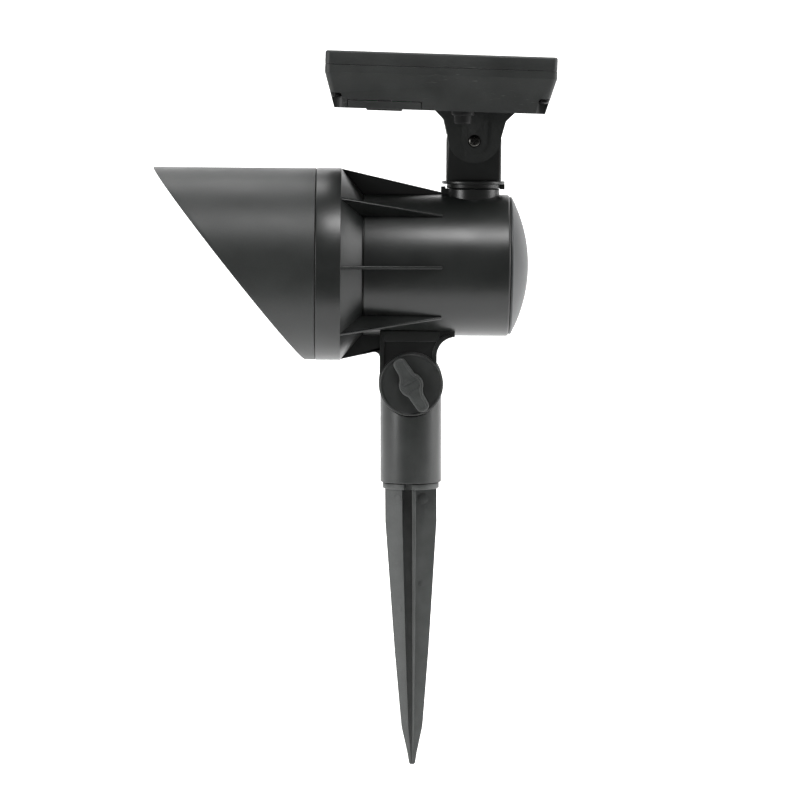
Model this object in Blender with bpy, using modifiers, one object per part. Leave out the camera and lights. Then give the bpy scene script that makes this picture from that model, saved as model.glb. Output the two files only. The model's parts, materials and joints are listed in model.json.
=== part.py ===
"""Solar garden spotlight on a ground stake, as the separate pieces it is put together from.

+Z is up, -X is the way the lamp shines, and the origin is on the stake's axis at the ground line, under
its collar. Every piece is drawn upright, with the lamp and the panel level, and then hung from the
empty of the joint that carries it. Those empties hold the small tilts at which the light rests.
"""

import math

import bmesh
import bpy
from mathutils import Matrix, Vector

MM = 0.001

# Clearances.
GAP = 0.3 * MM
PLAY = 0.4 * MM

# How far the joints stand from upright and level at rest, in degrees about +Y: the lamp's front end up.
LAMP_REST_TILT = 0.5
PANEL_REST_TILT = 1.35
KNOB_REST_TURN = 64.0
STAKE_TURN = 6.4

# Stake: four blades in a cross under a round collar, with a plug that goes up into the tube.
STAKE_LENGTH = 120.5 * MM
BLADE_HALF_WIDTH = 10.9 * MM
BLADE_THICKNESS = 1.9 * MM
BLADE_STRAIGHT = 14.2 * MM
BLADE_MIDDLE = (69.8 * MM, 7.1 * MM)
BLADE_LOWER = (103.5 * MM, 4.5 * MM)
BLADE_TIP_HALF_WIDTH = 1.0 * MM
COLLAR_RADIUS = 12.0 * MM
COLLAR_HEIGHT = 2.5 * MM
PLUG_RADIUS = 10.2 * MM
PLUG_LENGTH = 24.0 * MM
KEYWAY_WIDTH = 3.4 * MM
KEYWAY_DEPTH = 2.0 * MM
KEYWAY_ANGLE = -96.4

# Tube that stands on the stake, with the clamp's tongue at its top.
TUBE_RADIUS = 13.0 * MM
CLAMP_HEIGHT = 45.6 * MM
TONGUE_HALF = 7.3 * MM
SOCKET_DEPTH = 26.0 * MM

# Clamp: fork cheeks on the lamp, a bolt moulded into the wing knob and a nut sunk in the far cheek.
CHEEK_RADIUS = 13.8 * MM
CHEEK_OUTER = 12.9 * MM
BOLT_RADIUS = 2.5 * MM
NUT_ACROSS_FLATS = 8.0 * MM
NUT_THICKNESS = 3.4 * MM
TILT_DOWN = 40.0
TILT_UP = 70.0
KNOB_RADIUS = 13.3 * MM
KNOB_DISC = 3.0 * MM
KNOB_HUB_RADIUS = 5.2 * MM
KNOB_HUB_HEIGHT = 7.0 * MM
WING_HALF_LENGTH = 12.2 * MM
WING_WIDTH = 6.2 * MM
WING_HEIGHT = 5.6 * MM
KNOB_BORE_END = 1.2 * MM

# Lamp housing: a bell ring, a cone behind it and a round body, all turned about the lamp's axis.
AXIS_RISE = 50.7 * MM
BODY_RADIUS = 30.4 * MM
LAMP_WALL = 2.2 * MM
BELL_RADIUS = 41.3 * MM
BELL_FRONT = -41.1 * MM
BELL_REAR = -30.4 * MM
CONE_END = -20.7 * MM
CONE_STEP = 1.0 * MM
BODY_END = 41.6 * MM
BELL_BORE = 38.9 * MM
LENS_SHOULDER = -32.5 * MM
SHOULDER_RADIUS = 36.3 * MM
FIN_COUNT = 8
FIN_THICKNESS = 1.3 * MM
FIN_END = 12.6 * MM
FIN_END_RISE = 0.8 * MM
FIN_TOP_INSET = 0.2 * MM

# Stem: the block under the housing that ends in the fork's two cheeks.
STEM_LEFT = -13.5 * MM
STEM_RIGHT = 10.9 * MM
STEM_FILLET = 8.0 * MM
STEM_RECESS = 1.4 * MM
STEM_RIB = 2.0 * MM

# Hood in front of the bell ring, cut off on the slant.
HOOD_RADIUS = 40.9 * MM
HOOD_WALL = 2.0 * MM
HOOD_TIP = -111.4 * MM
HOOD_CUT_ANGLE = 38.6
SPIGOT_WALL = 1.7 * MM
SPIGOT_ROOT = 2.9 * MM

# Optics and light source.
LENS_THICKNESS = 2.0 * MM
GASKET_THICKNESS = 1.5 * MM
GASKET_WIDTH = 1.8 * MM
REFLECTOR_WALL = 1.2 * MM
REFLECTOR_DEPTH = 19.0 * MM
REFLECTOR_HOLE = 5.5 * MM
LED_BOARD_RADIUS = 14.0 * MM
LED_BOARD_THICKNESS = 1.6 * MM
LED_SIZE = 5.0 * MM
LED_HEIGHT = 1.6 * MM
CARRIER_THICKNESS = 2.0 * MM

# Rear cap: a shallow dome that plugs into the housing.
CAP_RADIUS = 29.3 * MM
CAP_RIM = 0.8 * MM
CAP_HEIGHT = 8.2 * MM
CAP_WALL = 2.0 * MM
CAP_SPIGOT = 5.0 * MM
CAP_SPIGOT_WALL = 1.9 * MM
CAP_RING_WIDTH = 1.4 * MM
CAP_RING_DEPTH = 0.8 * MM

# Swivel: a neck on the housing, and a post that turns in it.
SWIVEL_X = 26.1 * MM
NECK_RADIUS = 11.0 * MM
NECK_BORE = 8.2 * MM
NECK_RISE = 1.9 * MM
COLLAR_GAP = 0.7 * MM
LOWER_RING_RADIUS = 11.2 * MM
LOWER_RING_HEIGHT = 1.9 * MM
FLANGE_RADIUS = 13.5 * MM
FLANGE_HEIGHT = 1.3 * MM
POST_WIDTH = 23.5 * MM
POST_DEPTH = 16.0 * MM
POST_CHAMFER = 1.5 * MM
PANEL_PIVOT_RISE = 17.1 * MM
CLIP_WIDTH = 2.3 * MM
CLIP_HEIGHT = 2.0 * MM
CABLE_OFFSET = 4.6 * MM
CABLE_BORE = 2.2 * MM
CABLE_RADIUS = 1.5 * MM
STOP_INNER = 12.2 * MM
STOP_THICKNESS = 1.6 * MM
STOP_WIDTH = 3.0 * MM
STOP_BLOCK_RADIUS = 13.2 * MM

# Panel head: a square tray with a slanted lower part, measured from the panel's pivot.
PANEL_SIZE = 97.0 * MM
PANEL_DEPTH = 97.0 * MM
PANEL_CENTRE_X = -15.7 * MM
PANEL_FLOOR = 12.45 * MM
PANEL_HEIGHT = 23.75 * MM
PANEL_RIM = 9.0 * MM
PANEL_INSET = 4.3 * MM
PANEL_WALL = 2.0 * MM
PANEL_CORNER = 2.4 * MM
BEZEL_HEIGHT = 5.85 * MM
BEZEL_PLATE = 1.8 * MM
WINDOW_SIZE = 80.0 * MM
WINDOW_LAP = 1.0 * MM
WINDOW_THICKNESS = 2.0 * MM
CELL_THICKNESS = 0.7 * MM
CELL_MARGIN = 1.5 * MM
BEZEL_POST_RADIUS = 2.7 * MM

# Ears under the panel.
EAR_THICKNESS = 3.2 * MM
EAR_RADIUS = 11.5 * MM
EAR_CENTRE_RISE = 2.1 * MM
EAR_SHOULDER = 13.2 * MM
EAR_SHOULDER_RISE = 8.8 * MM
EAR_ROOT = 16.8 * MM
PAD_RADIUS = 5.5 * MM
PAD_RISE = 0.8 * MM
PIN_RADIUS = 1.5 * MM
PIN_HEAD_RADIUS = 2.5 * MM
PIN_HEAD_HEIGHT = 1.6 * MM
PIN_NUT_FLATS = 5.5 * MM
PIN_NUT_THICKNESS = 2.4 * MM

# Corner screws, in pockets that break out of the slanted sides.
POCKET_INSET = 1.0 * MM
POCKET_RADIUS = 3.2 * MM
POCKET_HEIGHT = 6.2 * MM
BOSS_RADIUS = 5.0 * MM
SCREW_RADIUS = 1.2 * MM
SCREW_HEAD_RADIUS = 2.3 * MM
SCREW_HEAD_HEIGHT = 1.7 * MM
SCREW_LENGTH = 14.0 * MM

# Battery bay, its cells and its door.
DOOR_CENTRE_X = -38.9 * MM
DOOR_WIDTH = 31.3 * MM
DOOR_LENGTH = 56.0 * MM
DOOR_THICKNESS = 1.6 * MM
DOOR_LIP = 3.2 * MM
GRIP_WIDTH = 15.0 * MM
GRIP_LENGTH = 6.0 * MM
GRIP_DROP = 0.7 * MM
CELL_RADIUS = 7.0 * MM
CELL_LENGTH = 49.5 * MM
CELL_NUB_RADIUS = 2.7 * MM
CELL_NUB = 1.0 * MM
BAY_WALL = 1.2 * MM
BAY_HEIGHT = 12.0 * MM
CONTACT_THICKNESS = 0.6 * MM
CONTACT_HEIGHT = 9.0 * MM

# Push switch and circuit board.
SWITCH_X = -5.5 * MM
SWITCH_Y = -20.0 * MM
BUTTON_RADIUS = 4.8 * MM
BUTTON_TIP_RADIUS = 3.5 * MM
BUTTON_DROP = 5.3 * MM
BUTTON_TRAVEL = 1.5 * MM
SWITCH_BODY = 8.0 * MM
BOARD_THICKNESS = 1.6 * MM
BOARD_LENGTH = 34.0 * MM
BOARD_DEPTH = 24.0 * MM

# Facets of round shapes.
LARGE_STEPS = 48
MEDIUM_STEPS = 32
SMALL_STEPS = 16
ARC_STEPS = 12
CORNER_STEPS = 3
BOSS_PHASE = 9.0

# Places that follow from the sizes above.
TUBE_FOOT = COLLAR_HEIGHT + GAP
LAMP_AXIS_Z = CLAMP_HEIGHT + AXIS_RISE
BODY_BORE = BODY_RADIUS - LAMP_WALL
CONE_RADIUS = BODY_RADIUS - CONE_STEP
CONE_SLOPE = (BELL_RADIUS - CONE_RADIUS) / (CONE_END - BELL_REAR)
CONE_WALL = LAMP_WALL * math.hypot(1.0, CONE_SLOPE)
WALL_MIDDLE = BODY_RADIUS - LAMP_WALL / 2
GASKET_REAR = LENS_SHOULDER - GAP
LENS_REAR = GASKET_REAR - GASKET_THICKNESS - GAP
LENS_FRONT = LENS_REAR - LENS_THICKNESS
HOOD_REAR = BELL_FRONT - GAP
REFLECTOR_FRONT = LENS_REAR + GAP
REFLECTOR_BACK = REFLECTOR_FRONT + REFLECTOR_DEPTH
LED_BOARD_FRONT = REFLECTOR_BACK + GAP
CARRIER_FRONT = LED_BOARD_FRONT + LED_BOARD_THICKNESS + GAP
FORK_HALF = TONGUE_HALF + GAP
NECK_TOP = LAMP_AXIS_Z + BODY_RADIUS + NECK_RISE
NECK_SPIGOT = NECK_BORE - GAP
CLIP_RADIUS = NECK_BORE + CLIP_WIDTH
CLIP_TOP = LAMP_AXIS_Z + math.sqrt(BODY_BORE**2 - CLIP_RADIUS**2) - PLAY
POST_FOOT = CLIP_TOP - CLIP_HEIGHT - CLIP_HEIGHT
RING_BOTTOM = NECK_TOP + COLLAR_GAP
FLANGE_BOTTOM = RING_BOTTOM + LOWER_RING_HEIGHT
FLANGE_TOP = FLANGE_BOTTOM + FLANGE_HEIGHT
PANEL_PIVOT_Z = FLANGE_TOP + PANEL_PIVOT_RISE
PANEL_TOP = PANEL_FLOOR + PANEL_HEIGHT
PANEL_KNEE = PANEL_TOP - PANEL_RIM
PARTING = PANEL_TOP - BEZEL_HEIGHT
WINDOW_TOP = PANEL_TOP - BEZEL_PLATE - GAP
WINDOW_BOTTOM = WINDOW_TOP - WINDOW_THICKNESS
EAR_INNER = POST_DEPTH / 2 + GAP
EAR_OUTER = EAR_INNER + EAR_THICKNESS
PAD_OUTER = EAR_OUTER + PAD_RISE
CORNER_X = PANEL_SIZE / 2 - PANEL_INSET - POCKET_INSET
CORNER_Y = PANEL_DEPTH / 2 - PANEL_INSET - POCKET_INSET
DOOR_FRONT = -PANEL_DEPTH / 2 + PANEL_INSET
BAY_END = DOOR_FRONT + DOOR_LENGTH
CELL_Z = PANEL_FLOOR + DOOR_THICKNESS + PLAY + CELL_RADIUS
CELL_END = BAY_END - 2 * GAP - CONTACT_THICKNESS
SWITCH_FLOOR = PANEL_FLOOR + 2 * BUTTON_TRAVEL + GAP
BOARD_LEVEL = SWITCH_FLOOR + SWITCH_BODY + GAP

CLAMP_PIVOT = Vector((0.0, 0.0, CLAMP_HEIGHT))
SWIVEL_PIVOT = Vector((SWIVEL_X, 0.0, NECK_TOP))
PANEL_PIVOT = Vector((SWIVEL_X, 0.0, PANEL_PIVOT_Z))

BLACK_PLASTIC = ((0.020, 0.021, 0.022), 0.45, 0.0)
DARK_PLASTIC = ((0.011, 0.011, 0.012), 0.5, 0.0)
MATTE_PLASTIC = ((0.028, 0.029, 0.030), 0.6, 0.0)
RUBBER = ((0.010, 0.010, 0.011), 0.8, 0.0)
ZINC_STEEL = ((0.60, 0.60, 0.57), 0.3, 1.0)
CLEAR_PLASTIC = ((0.75, 0.78, 0.80), 0.08, 0.0)
MIRROR_COAT = ((0.85, 0.86, 0.88), 0.1, 1.0)
BOARD_GREEN = ((0.02, 0.09, 0.04), 0.5, 0.0)
BOARD_WHITE = ((0.75, 0.75, 0.72), 0.5, 0.0)
LED_YELLOW = ((0.85, 0.65, 0.12), 0.4, 0.0)
SILICON = ((0.010, 0.014, 0.035), 0.25, 0.0)
CELL_SLEEVE = ((0.05, 0.16, 0.09), 0.35, 0.0)


def clear_scene():
    """Empties the scene, and makes the collections for the light's pieces and for its cutters."""
    for old in list(bpy.data.objects):
        bpy.data.objects.remove(old)
    parts = bpy.data.collections.new("solar_spotlight_stake")
    cutters = bpy.data.collections.new("cutters")
    bpy.context.scene.collection.children.link(parts)
    bpy.context.scene.collection.children.link(cutters)
    return parts, cutters


PARTS, CUTTERS = clear_scene()
TOOLS_OF = {}


def add_object(name, mesh):
    """An object of this mesh: a piece, or a hidden tool shape where its name starts with "tool"."""
    obj = bpy.data.objects.new(name, mesh)
    if name.startswith("tool"):
        CUTTERS.objects.link(obj)
        obj.hide_render = True
        obj.display_type = "WIRE"
    else:
        PARTS.objects.link(obj)
    return obj


def mesh_of(bm, name):
    """A mesh made from this bmesh, which is freed."""
    mesh = bpy.data.meshes.new(name)
    bm.to_mesh(mesh)
    bm.free()
    return mesh


def lay_along(obj, axis):
    """Turns a shape that is drawn along +Z so that it runs along +X or +Y."""
    if axis == "X":
        obj.rotation_euler.y = math.pi / 2
    elif axis == "Y":
        obj.rotation_euler.x = -math.pi / 2


def block(name, low, high):
    """A box between two corners."""
    bm = bmesh.new()
    bmesh.ops.create_cube(bm, size=1.0)
    bmesh.ops.scale(bm, vec=Vector(high) - Vector(low), verts=bm.verts)
    obj = add_object(name, mesh_of(bm, name))
    obj.location = (Vector(low) + Vector(high)) / 2
    return obj


def rod(name, radius, start, length, axis="Z", steps=MEDIUM_STEPS, phase=0.0):
    """A cylinder, or a prism where it has few steps, that runs from its start along an axis."""
    bm = bmesh.new()
    bmesh.ops.create_cone(bm, cap_ends=True, segments=steps, radius1=radius, radius2=radius, depth=length)
    bmesh.ops.translate(bm, vec=(0, 0, length / 2), verts=bm.verts)
    turn = Matrix.Rotation(math.radians(phase), 3, "Z")
    bmesh.ops.rotate(bm, cent=(0, 0, 0), matrix=turn, verts=bm.verts)
    obj = add_object(name, mesh_of(bm, name))
    obj.location = start
    lay_along(obj, axis)
    if steps > 6:
        obj.data.shade_smooth()
        obj.data.set_sharp_from_angle(angle=math.radians(40))
    return obj


def turned(name, profile, origin, axis="Z", steps=LARGE_STEPS):
    """A profile of (radius, height) points, down its outer side, turned about an axis.

    A profile that starts and ends on the axis is left open there, and any other is closed.
    """
    count = len(profile)
    open_ended = profile[0][0] == 0.0 and profile[-1][0] == 0.0
    edges = [(i, (i + 1) % count) for i in range(count - open_ended)]
    mesh = bpy.data.meshes.new(name)
    mesh.from_pydata([(radius, 0.0, height) for radius, height in profile], edges, [])
    obj = add_object(name, mesh)
    obj.location = origin
    lay_along(obj, axis)
    screw = obj.modifiers.new("turn", "SCREW")
    screw.steps = steps
    screw.render_steps = steps
    screw.use_merge_vertices = True
    screw.merge_threshold = 0.00001
    screw.use_smooth_shade = True
    return obj


def plate(name, outline, centre, thickness, turn=0.0):
    """An outline of (x, z) points made into a plate, as thick along Y as it says.

    It stands upright with its middle at the centre, and may be turned about +X.
    """
    curve = bpy.data.curves.new(name, "CURVE")
    curve.dimensions = "2D"
    curve.fill_mode = "BOTH"
    curve.extrude = thickness / 2
    spline = curve.splines.new("POLY")
    spline.points.add(len(outline) - 1)
    for point, (x, z) in zip(spline.points, outline):
        point.co = (x, z, 0.0, 1.0)
    spline.use_cyclic_u = True
    drawn = bpy.data.objects.new(name + "_outline", curve)
    bpy.context.scene.collection.objects.link(drawn)
    graph = bpy.context.evaluated_depsgraph_get()
    mesh = bpy.data.meshes.new_from_object(drawn.evaluated_get(graph))
    bpy.data.objects.remove(drawn)
    bm = bmesh.new()
    bm.from_mesh(mesh)
    bmesh.ops.remove_doubles(bm, verts=bm.verts, dist=0.000005)
    bmesh.ops.dissolve_limit(bm, angle_limit=0.001, verts=bm.verts, edges=bm.edges)
    bmesh.ops.recalc_face_normals(bm, faces=bm.faces)
    obj = add_object(name, mesh_of(bm, name))
    obj.location = centre
    obj.rotation_euler.x = math.pi / 2 + math.radians(turn)
    return obj


def arc(centre, radius, start, end, steps=ARC_STEPS):
    """Points on an arc about an (x, z) centre, from one angle to another in degrees."""
    angles = [math.radians(start + (end - start) * i / steps) for i in range(steps + 1)]
    return [(centre[0] + radius * math.cos(a), centre[1] + radius * math.sin(a)) for a in angles]


def combine(obj, tool, operation):
    """Adds a Boolean of this tool to an object, and notes that the tool moves with it."""
    boolean = obj.modifiers.new(tool.name, "BOOLEAN")
    boolean.object = tool
    boolean.operation = operation
    TOOLS_OF.setdefault(obj.name, []).append(tool)


def cut(obj, *tools):
    """Cuts each tool's shape out of an object."""
    for tool in tools:
        combine(obj, tool, "DIFFERENCE")


def join(obj, *tools):
    """Joins each tool's shape on to an object."""
    for tool in tools:
        combine(obj, tool, "UNION")


def finish(obj, look):
    """Gives an object a material of its own: base colour, roughness and metallic value."""
    colour, roughness, metallic = look
    material = bpy.data.materials.new(obj.name + "_material")
    material.use_nodes = True
    shader = material.node_tree.nodes["Principled BSDF"]
    shader.inputs["Base Color"].default_value = (*colour, 1.0)
    shader.inputs["Roughness"].default_value = roughness
    shader.inputs["Metallic"].default_value = metallic
    obj.data.materials.clear()
    obj.data.materials.append(material)


def make_joint(name, pivot, tilt=0.0, parent=None):
    """An empty on a joint's axis, turned about +Y by the tilt at which the joint rests."""
    empty = bpy.data.objects.new(name, None)
    bpy.context.scene.collection.objects.link(empty)
    empty["pivot"] = tuple(pivot)
    empty.location = pivot
    empty.rotation_euler.y = math.radians(tilt)
    if parent:
        empty.parent = parent
        empty.location = pivot - Vector(parent["pivot"])
    return empty


def hang(joint, obj):
    """Hangs an upright object, with the tools that shape it, from a joint's empty."""
    obj.parent = joint
    obj.location = obj.location - Vector(joint["pivot"])
    for tool in TOOLS_OF.get(obj.name, []):
        hang(joint, tool)


def place(obj, look, joint=None):
    """Finishes a piece, and hangs it from its joint where it has one."""
    finish(obj, look)
    if joint:
        hang(joint, obj)


def build_stake():
    """Ground stake: two crossed blades under a collar with a keyway, and the plug above it."""
    outline = [(-BLADE_HALF_WIDTH, GAP), (-BLADE_HALF_WIDTH, -BLADE_STRAIGHT)]
    outline += [(-half, -depth) for depth, half in (BLADE_MIDDLE, BLADE_LOWER)]
    outline.append((-BLADE_TIP_HALF_WIDTH, -STAKE_LENGTH))
    outline += [(-x, z) for x, z in reversed(outline)]
    stake = rod("stake", PLUG_RADIUS, (0, 0, COLLAR_HEIGHT - GAP), PLUG_LENGTH + GAP)
    collar = rod("tool_stake_collar", COLLAR_RADIUS, (0, 0, 0), COLLAR_HEIGHT, steps=LARGE_STEPS)
    join(stake, collar)
    for number in range(2):
        blade = plate(f"tool_stake_blades_{number}", outline, (0, 0, 0), BLADE_THICKNESS)
        blade.rotation_euler.z = math.radians(STAKE_TURN + 90 * number)
        join(stake, blade)
    keyway = block(
        "tool_stake_keyway",
        (-KEYWAY_WIDTH / 2, -KEYWAY_DEPTH, -COLLAR_HEIGHT),
        (KEYWAY_WIDTH / 2, KEYWAY_DEPTH, 2 * COLLAR_HEIGHT),
    )
    angle = math.radians(KEYWAY_ANGLE)
    keyway.location = (COLLAR_RADIUS * math.cos(angle), COLLAR_RADIUS * math.sin(angle), COLLAR_HEIGHT / 2)
    keyway.scale.z = (COLLAR_HEIGHT - GAP) / (3 * COLLAR_HEIGHT)
    keyway.rotation_euler.z = angle + math.pi / 2
    cut(stake, keyway)
    place(stake, MATTE_PLASTIC)


def build_tube():
    """Tube over the stake's plug: round, then narrowed by two round pockets to the clamp's tongue."""
    foot = (0, 0, TUBE_FOOT)
    half_step = 180 / LARGE_STEPS
    tube = rod("tube", TUBE_RADIUS, foot, CLAMP_HEIGHT + TUBE_RADIUS, steps=LARGE_STEPS, phase=half_step)
    side = [(TUBE_RADIUS + PLAY, -CLAMP_HEIGHT), *arc((0, 0), TUBE_RADIUS, 0, 180, 2 * ARC_STEPS)]
    side.append((-TUBE_RADIUS - PLAY, -CLAMP_HEIGHT))
    rounding = plate("tool_tube_side", side, CLAMP_PIVOT, 3 * TUBE_RADIUS)
    combine(tube, rounding, "INTERSECT")
    pocket = arc((0, 0), CHEEK_RADIUS + PLAY, 180, 360, 2 * ARC_STEPS)
    pocket += [(CHEEK_RADIUS + PLAY, 2 * TUBE_RADIUS), (-CHEEK_RADIUS - PLAY, 2 * TUBE_RADIUS)]
    for side_sign in (-1, 1):
        middle = CLAMP_PIVOT + Vector((0, side_sign * (TONGUE_HALF + TUBE_RADIUS), 0))
        cut(tube, plate(f"tool_tube_pocket{side_sign}", pocket, middle, 2 * TUBE_RADIUS))
    bolt_hole = rod(
        "tool_tube_bolt_hole", BOLT_RADIUS + GAP, (0, -TUBE_RADIUS, CLAMP_HEIGHT), 2 * TUBE_RADIUS, "Y"
    )
    socket = rod("tool_tube_socket", PLUG_RADIUS + GAP, (0, 0, 0), TUBE_FOOT + SOCKET_DEPTH)
    cut(tube, bolt_hole, socket)
    place(tube, BLACK_PLASTIC)


def cone_inside_at(radius):
    """Where along the axis the housing's inner cone has this radius."""
    return BELL_REAR + (BELL_RADIUS - CONE_WALL - radius) / CONE_SLOPE


def saddle(name):
    """A cylinder through the middle of the housing's wall, for what stands on the wall."""
    return rod(name, WALL_MIDDLE, (-2 * BODY_RADIUS, 0, LAMP_AXIS_Z), 4 * BODY_RADIUS, "X", LARGE_STEPS)


def stem_tools():
    """The stem with its fork: its solid block, and the shapes that are cut out of it."""
    notch = math.degrees(math.acos(STEM_RIGHT / CHEEK_RADIUS))
    body_bottom = AXIS_RISE - BODY_RADIUS
    top = body_bottom + LAMP_WALL * 2
    fillet = (STEM_RIGHT + STEM_FILLET, body_bottom - STEM_FILLET)
    outline = [(STEM_LEFT, top), (STEM_LEFT, 0.0), *arc((0, 0), CHEEK_RADIUS, 185, 360 + notch, 2 * ARC_STEPS)]
    outline += arc(fillet, STEM_FILLET, 180, 92, ARC_STEPS)
    outline.append((fillet[0], top))
    stem = plate("tool_stem", outline, CLAMP_PIVOT, 2 * CHEEK_OUTER)
    cut(stem, saddle("tool_stem_saddle"))
    recess_floor = CHEEK_RADIUS + STEM_RIB
    low = math.degrees(math.asin((STEM_RIGHT - STEM_RIB) / recess_floor))
    high = math.degrees(math.asin((STEM_LEFT + STEM_RIB) / recess_floor))
    recess = arc((0, 0), recess_floor, 90 - low, 90 - high)
    recess += [(STEM_LEFT + STEM_RIB, body_bottom + STEM_RIB), (STEM_RIGHT - STEM_RIB, body_bottom + STEM_RIB)]
    for side_sign in (-1, 1):
        middle = CLAMP_PIVOT + Vector((0, side_sign * CHEEK_OUTER, 0))
        cut(stem, plate(f"tool_stem_recess{side_sign}", recess, middle, 2 * STEM_RECESS))
    cut(stem, fork_slot())
    return stem


def fork_slot():
    """The fork's slot: the tongue's round top, and all that the tube sweeps as the lamp tilts."""
    radius = TUBE_RADIUS + PLAY
    reach = 2.5 * TUBE_RADIUS
    up = math.radians(TILT_UP)
    down = math.radians(180 - TILT_DOWN)
    crown = arc((0, 0), radius, TILT_UP, 180 - TILT_DOWN)
    right = (crown[0][0] + reach * math.sin(up), crown[0][1] - reach * math.cos(up))
    left = (crown[-1][0] - reach * math.sin(down), crown[-1][1] + reach * math.cos(down))
    outline = [(right[0], -reach), right, *crown, left, (left[0], -reach)]
    return plate("tool_fork_slot", outline, CLAMP_PIVOT, 2 * FORK_HALF)


def build_lamp_body(joint):
    """Housing: bell ring, cone and round body turned in one, with fins, neck, stop and forked stem."""
    profile = [
        (BODY_RADIUS, BODY_END),
        (BODY_RADIUS, CONE_END),
        (CONE_RADIUS, CONE_END),
        (BELL_RADIUS - FIN_TOP_INSET, BELL_REAR),
        (BELL_RADIUS, BELL_REAR),
        (BELL_RADIUS, BELL_FRONT),
        (BELL_BORE, BELL_FRONT),
        (BELL_BORE, LENS_SHOULDER),
        (SHOULDER_RADIUS, LENS_SHOULDER),
        (SHOULDER_RADIUS, cone_inside_at(SHOULDER_RADIUS)),
        (BODY_BORE, cone_inside_at(BODY_BORE)),
        (BODY_BORE, BODY_END),
    ]
    body = turned("lamp_body", profile, (0, 0, LAMP_AXIS_Z), "X")
    fin = [
        (BELL_REAR - GAP, BELL_RADIUS - FIN_TOP_INSET),
        (FIN_END, BODY_RADIUS + FIN_END_RISE),
        (FIN_END, WALL_MIDDLE),
        (CONE_END, (CONE_RADIUS + BODY_BORE) / 2),
        (BELL_REAR - GAP, BELL_RADIUS - CONE_WALL / 2),
    ]
    for number in range(FIN_COUNT):
        turn = 360 * number / FIN_COUNT
        join(body, plate(f"tool_fin_{number}", fin, (0, 0, LAMP_AXIS_Z), FIN_THICKNESS, turn))
    neck = rod("tool_neck", NECK_RADIUS, (SWIVEL_X, 0, LAMP_AXIS_Z), NECK_TOP - LAMP_AXIS_Z)
    cut(neck, saddle("tool_neck_saddle"))
    join(body, neck)
    stop = block(
        "tool_swivel_stop",
        (SWIVEL_X - STOP_INNER - STOP_THICKNESS, -STOP_WIDTH / 2, LAMP_AXIS_Z + WALL_MIDDLE),
        (SWIVEL_X - STOP_INNER, STOP_WIDTH / 2, FLANGE_BOTTOM - PLAY),
    )
    join(body, stop, stem_tools())
    cut(body, rod("tool_neck_bore", NECK_BORE, (SWIVEL_X, 0, LAMP_AXIS_Z), 2 * BODY_RADIUS))
    cheek_length = 4 * CHEEK_OUTER
    start = CLAMP_PIVOT - Vector((0, cheek_length / 2, 0))
    cut(body, rod("tool_fork_bolt_hole", BOLT_RADIUS + GAP, start, cheek_length, "Y"))
    pocket_start = CLAMP_PIVOT + Vector((0, CHEEK_OUTER - NUT_THICKNESS - 2 * GAP, 0))
    pocket = rod("tool_nut_pocket", hex_radius(NUT_ACROSS_FLATS) + 2 * GAP, pocket_start, CHEEK_OUTER, "Y", 6)
    cut(body, pocket)
    place(body, DARK_PLASTIC, joint)


def hex_radius(across_flats):
    """Distance from a hexagon's middle to its corners."""
    return across_flats / math.sqrt(3)


def nut(name, across_flats, bore, start, thickness, joint):
    """A hexagon nut that lies along Y from its start."""
    piece = rod(name, hex_radius(across_flats), start, thickness, "Y", 6)
    over = Vector((0, thickness, 0))
    cut(piece, rod("tool_" + name + "_bore", bore, start - over, 3 * thickness, "Y", SMALL_STEPS))
    place(piece, ZINC_STEEL, joint)


def build_clamp(lamp_joint, knob_joint):
    """Clamp bolt in its wing knob, and the nut that it screws into."""
    disc_back = -CHEEK_OUTER - GAP
    disc_start = CLAMP_PIVOT + Vector((0, disc_back - KNOB_DISC, 0))
    knob = rod("wing_knob", KNOB_RADIUS, disc_start, KNOB_DISC, "Y", LARGE_STEPS)
    hub_start = CLAMP_PIVOT + Vector((0, disc_back - KNOB_HUB_HEIGHT, 0))
    hub = rod("tool_knob_hub", KNOB_HUB_RADIUS, hub_start, KNOB_HUB_HEIGHT - GAP, "Y")
    straight = WING_HALF_LENGTH - WING_WIDTH / 2
    outline = arc((straight, 0), WING_WIDTH / 2, -90, 90) + arc((-straight, 0), WING_WIDTH / 2, 90, 270)
    wing_depth = WING_HEIGHT - GAP
    wing_middle = CLAMP_PIVOT + Vector((0, disc_back - GAP - wing_depth / 2, 0))
    join(knob, hub, plate("tool_knob_wing", outline, wing_middle, wing_depth))
    bolt_head = disc_back - KNOB_HUB_HEIGHT + KNOB_BORE_END
    bore_start = CLAMP_PIVOT + Vector((0, bolt_head, 0))
    cut(knob, rod("tool_knob_bore", BOLT_RADIUS + GAP, bore_start, KNOB_HUB_HEIGHT + KNOB_DISC, "Y", SMALL_STEPS))
    place(knob, MATTE_PLASTIC, knob_joint)
    bolt_start = CLAMP_PIVOT + Vector((0, bolt_head + GAP, 0))
    bolt = rod("clamp_bolt", BOLT_RADIUS, bolt_start, CHEEK_OUTER - bolt_head - 2 * GAP, "Y", SMALL_STEPS)
    place(bolt, ZINC_STEEL, knob_joint)
    nut_start = CLAMP_PIVOT + Vector((0, CHEEK_OUTER - NUT_THICKNESS - GAP, 0))
    nut("clamp_nut", NUT_ACROSS_FLATS, BOLT_RADIUS + GAP, nut_start, NUT_THICKNESS, lamp_joint)


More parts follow.
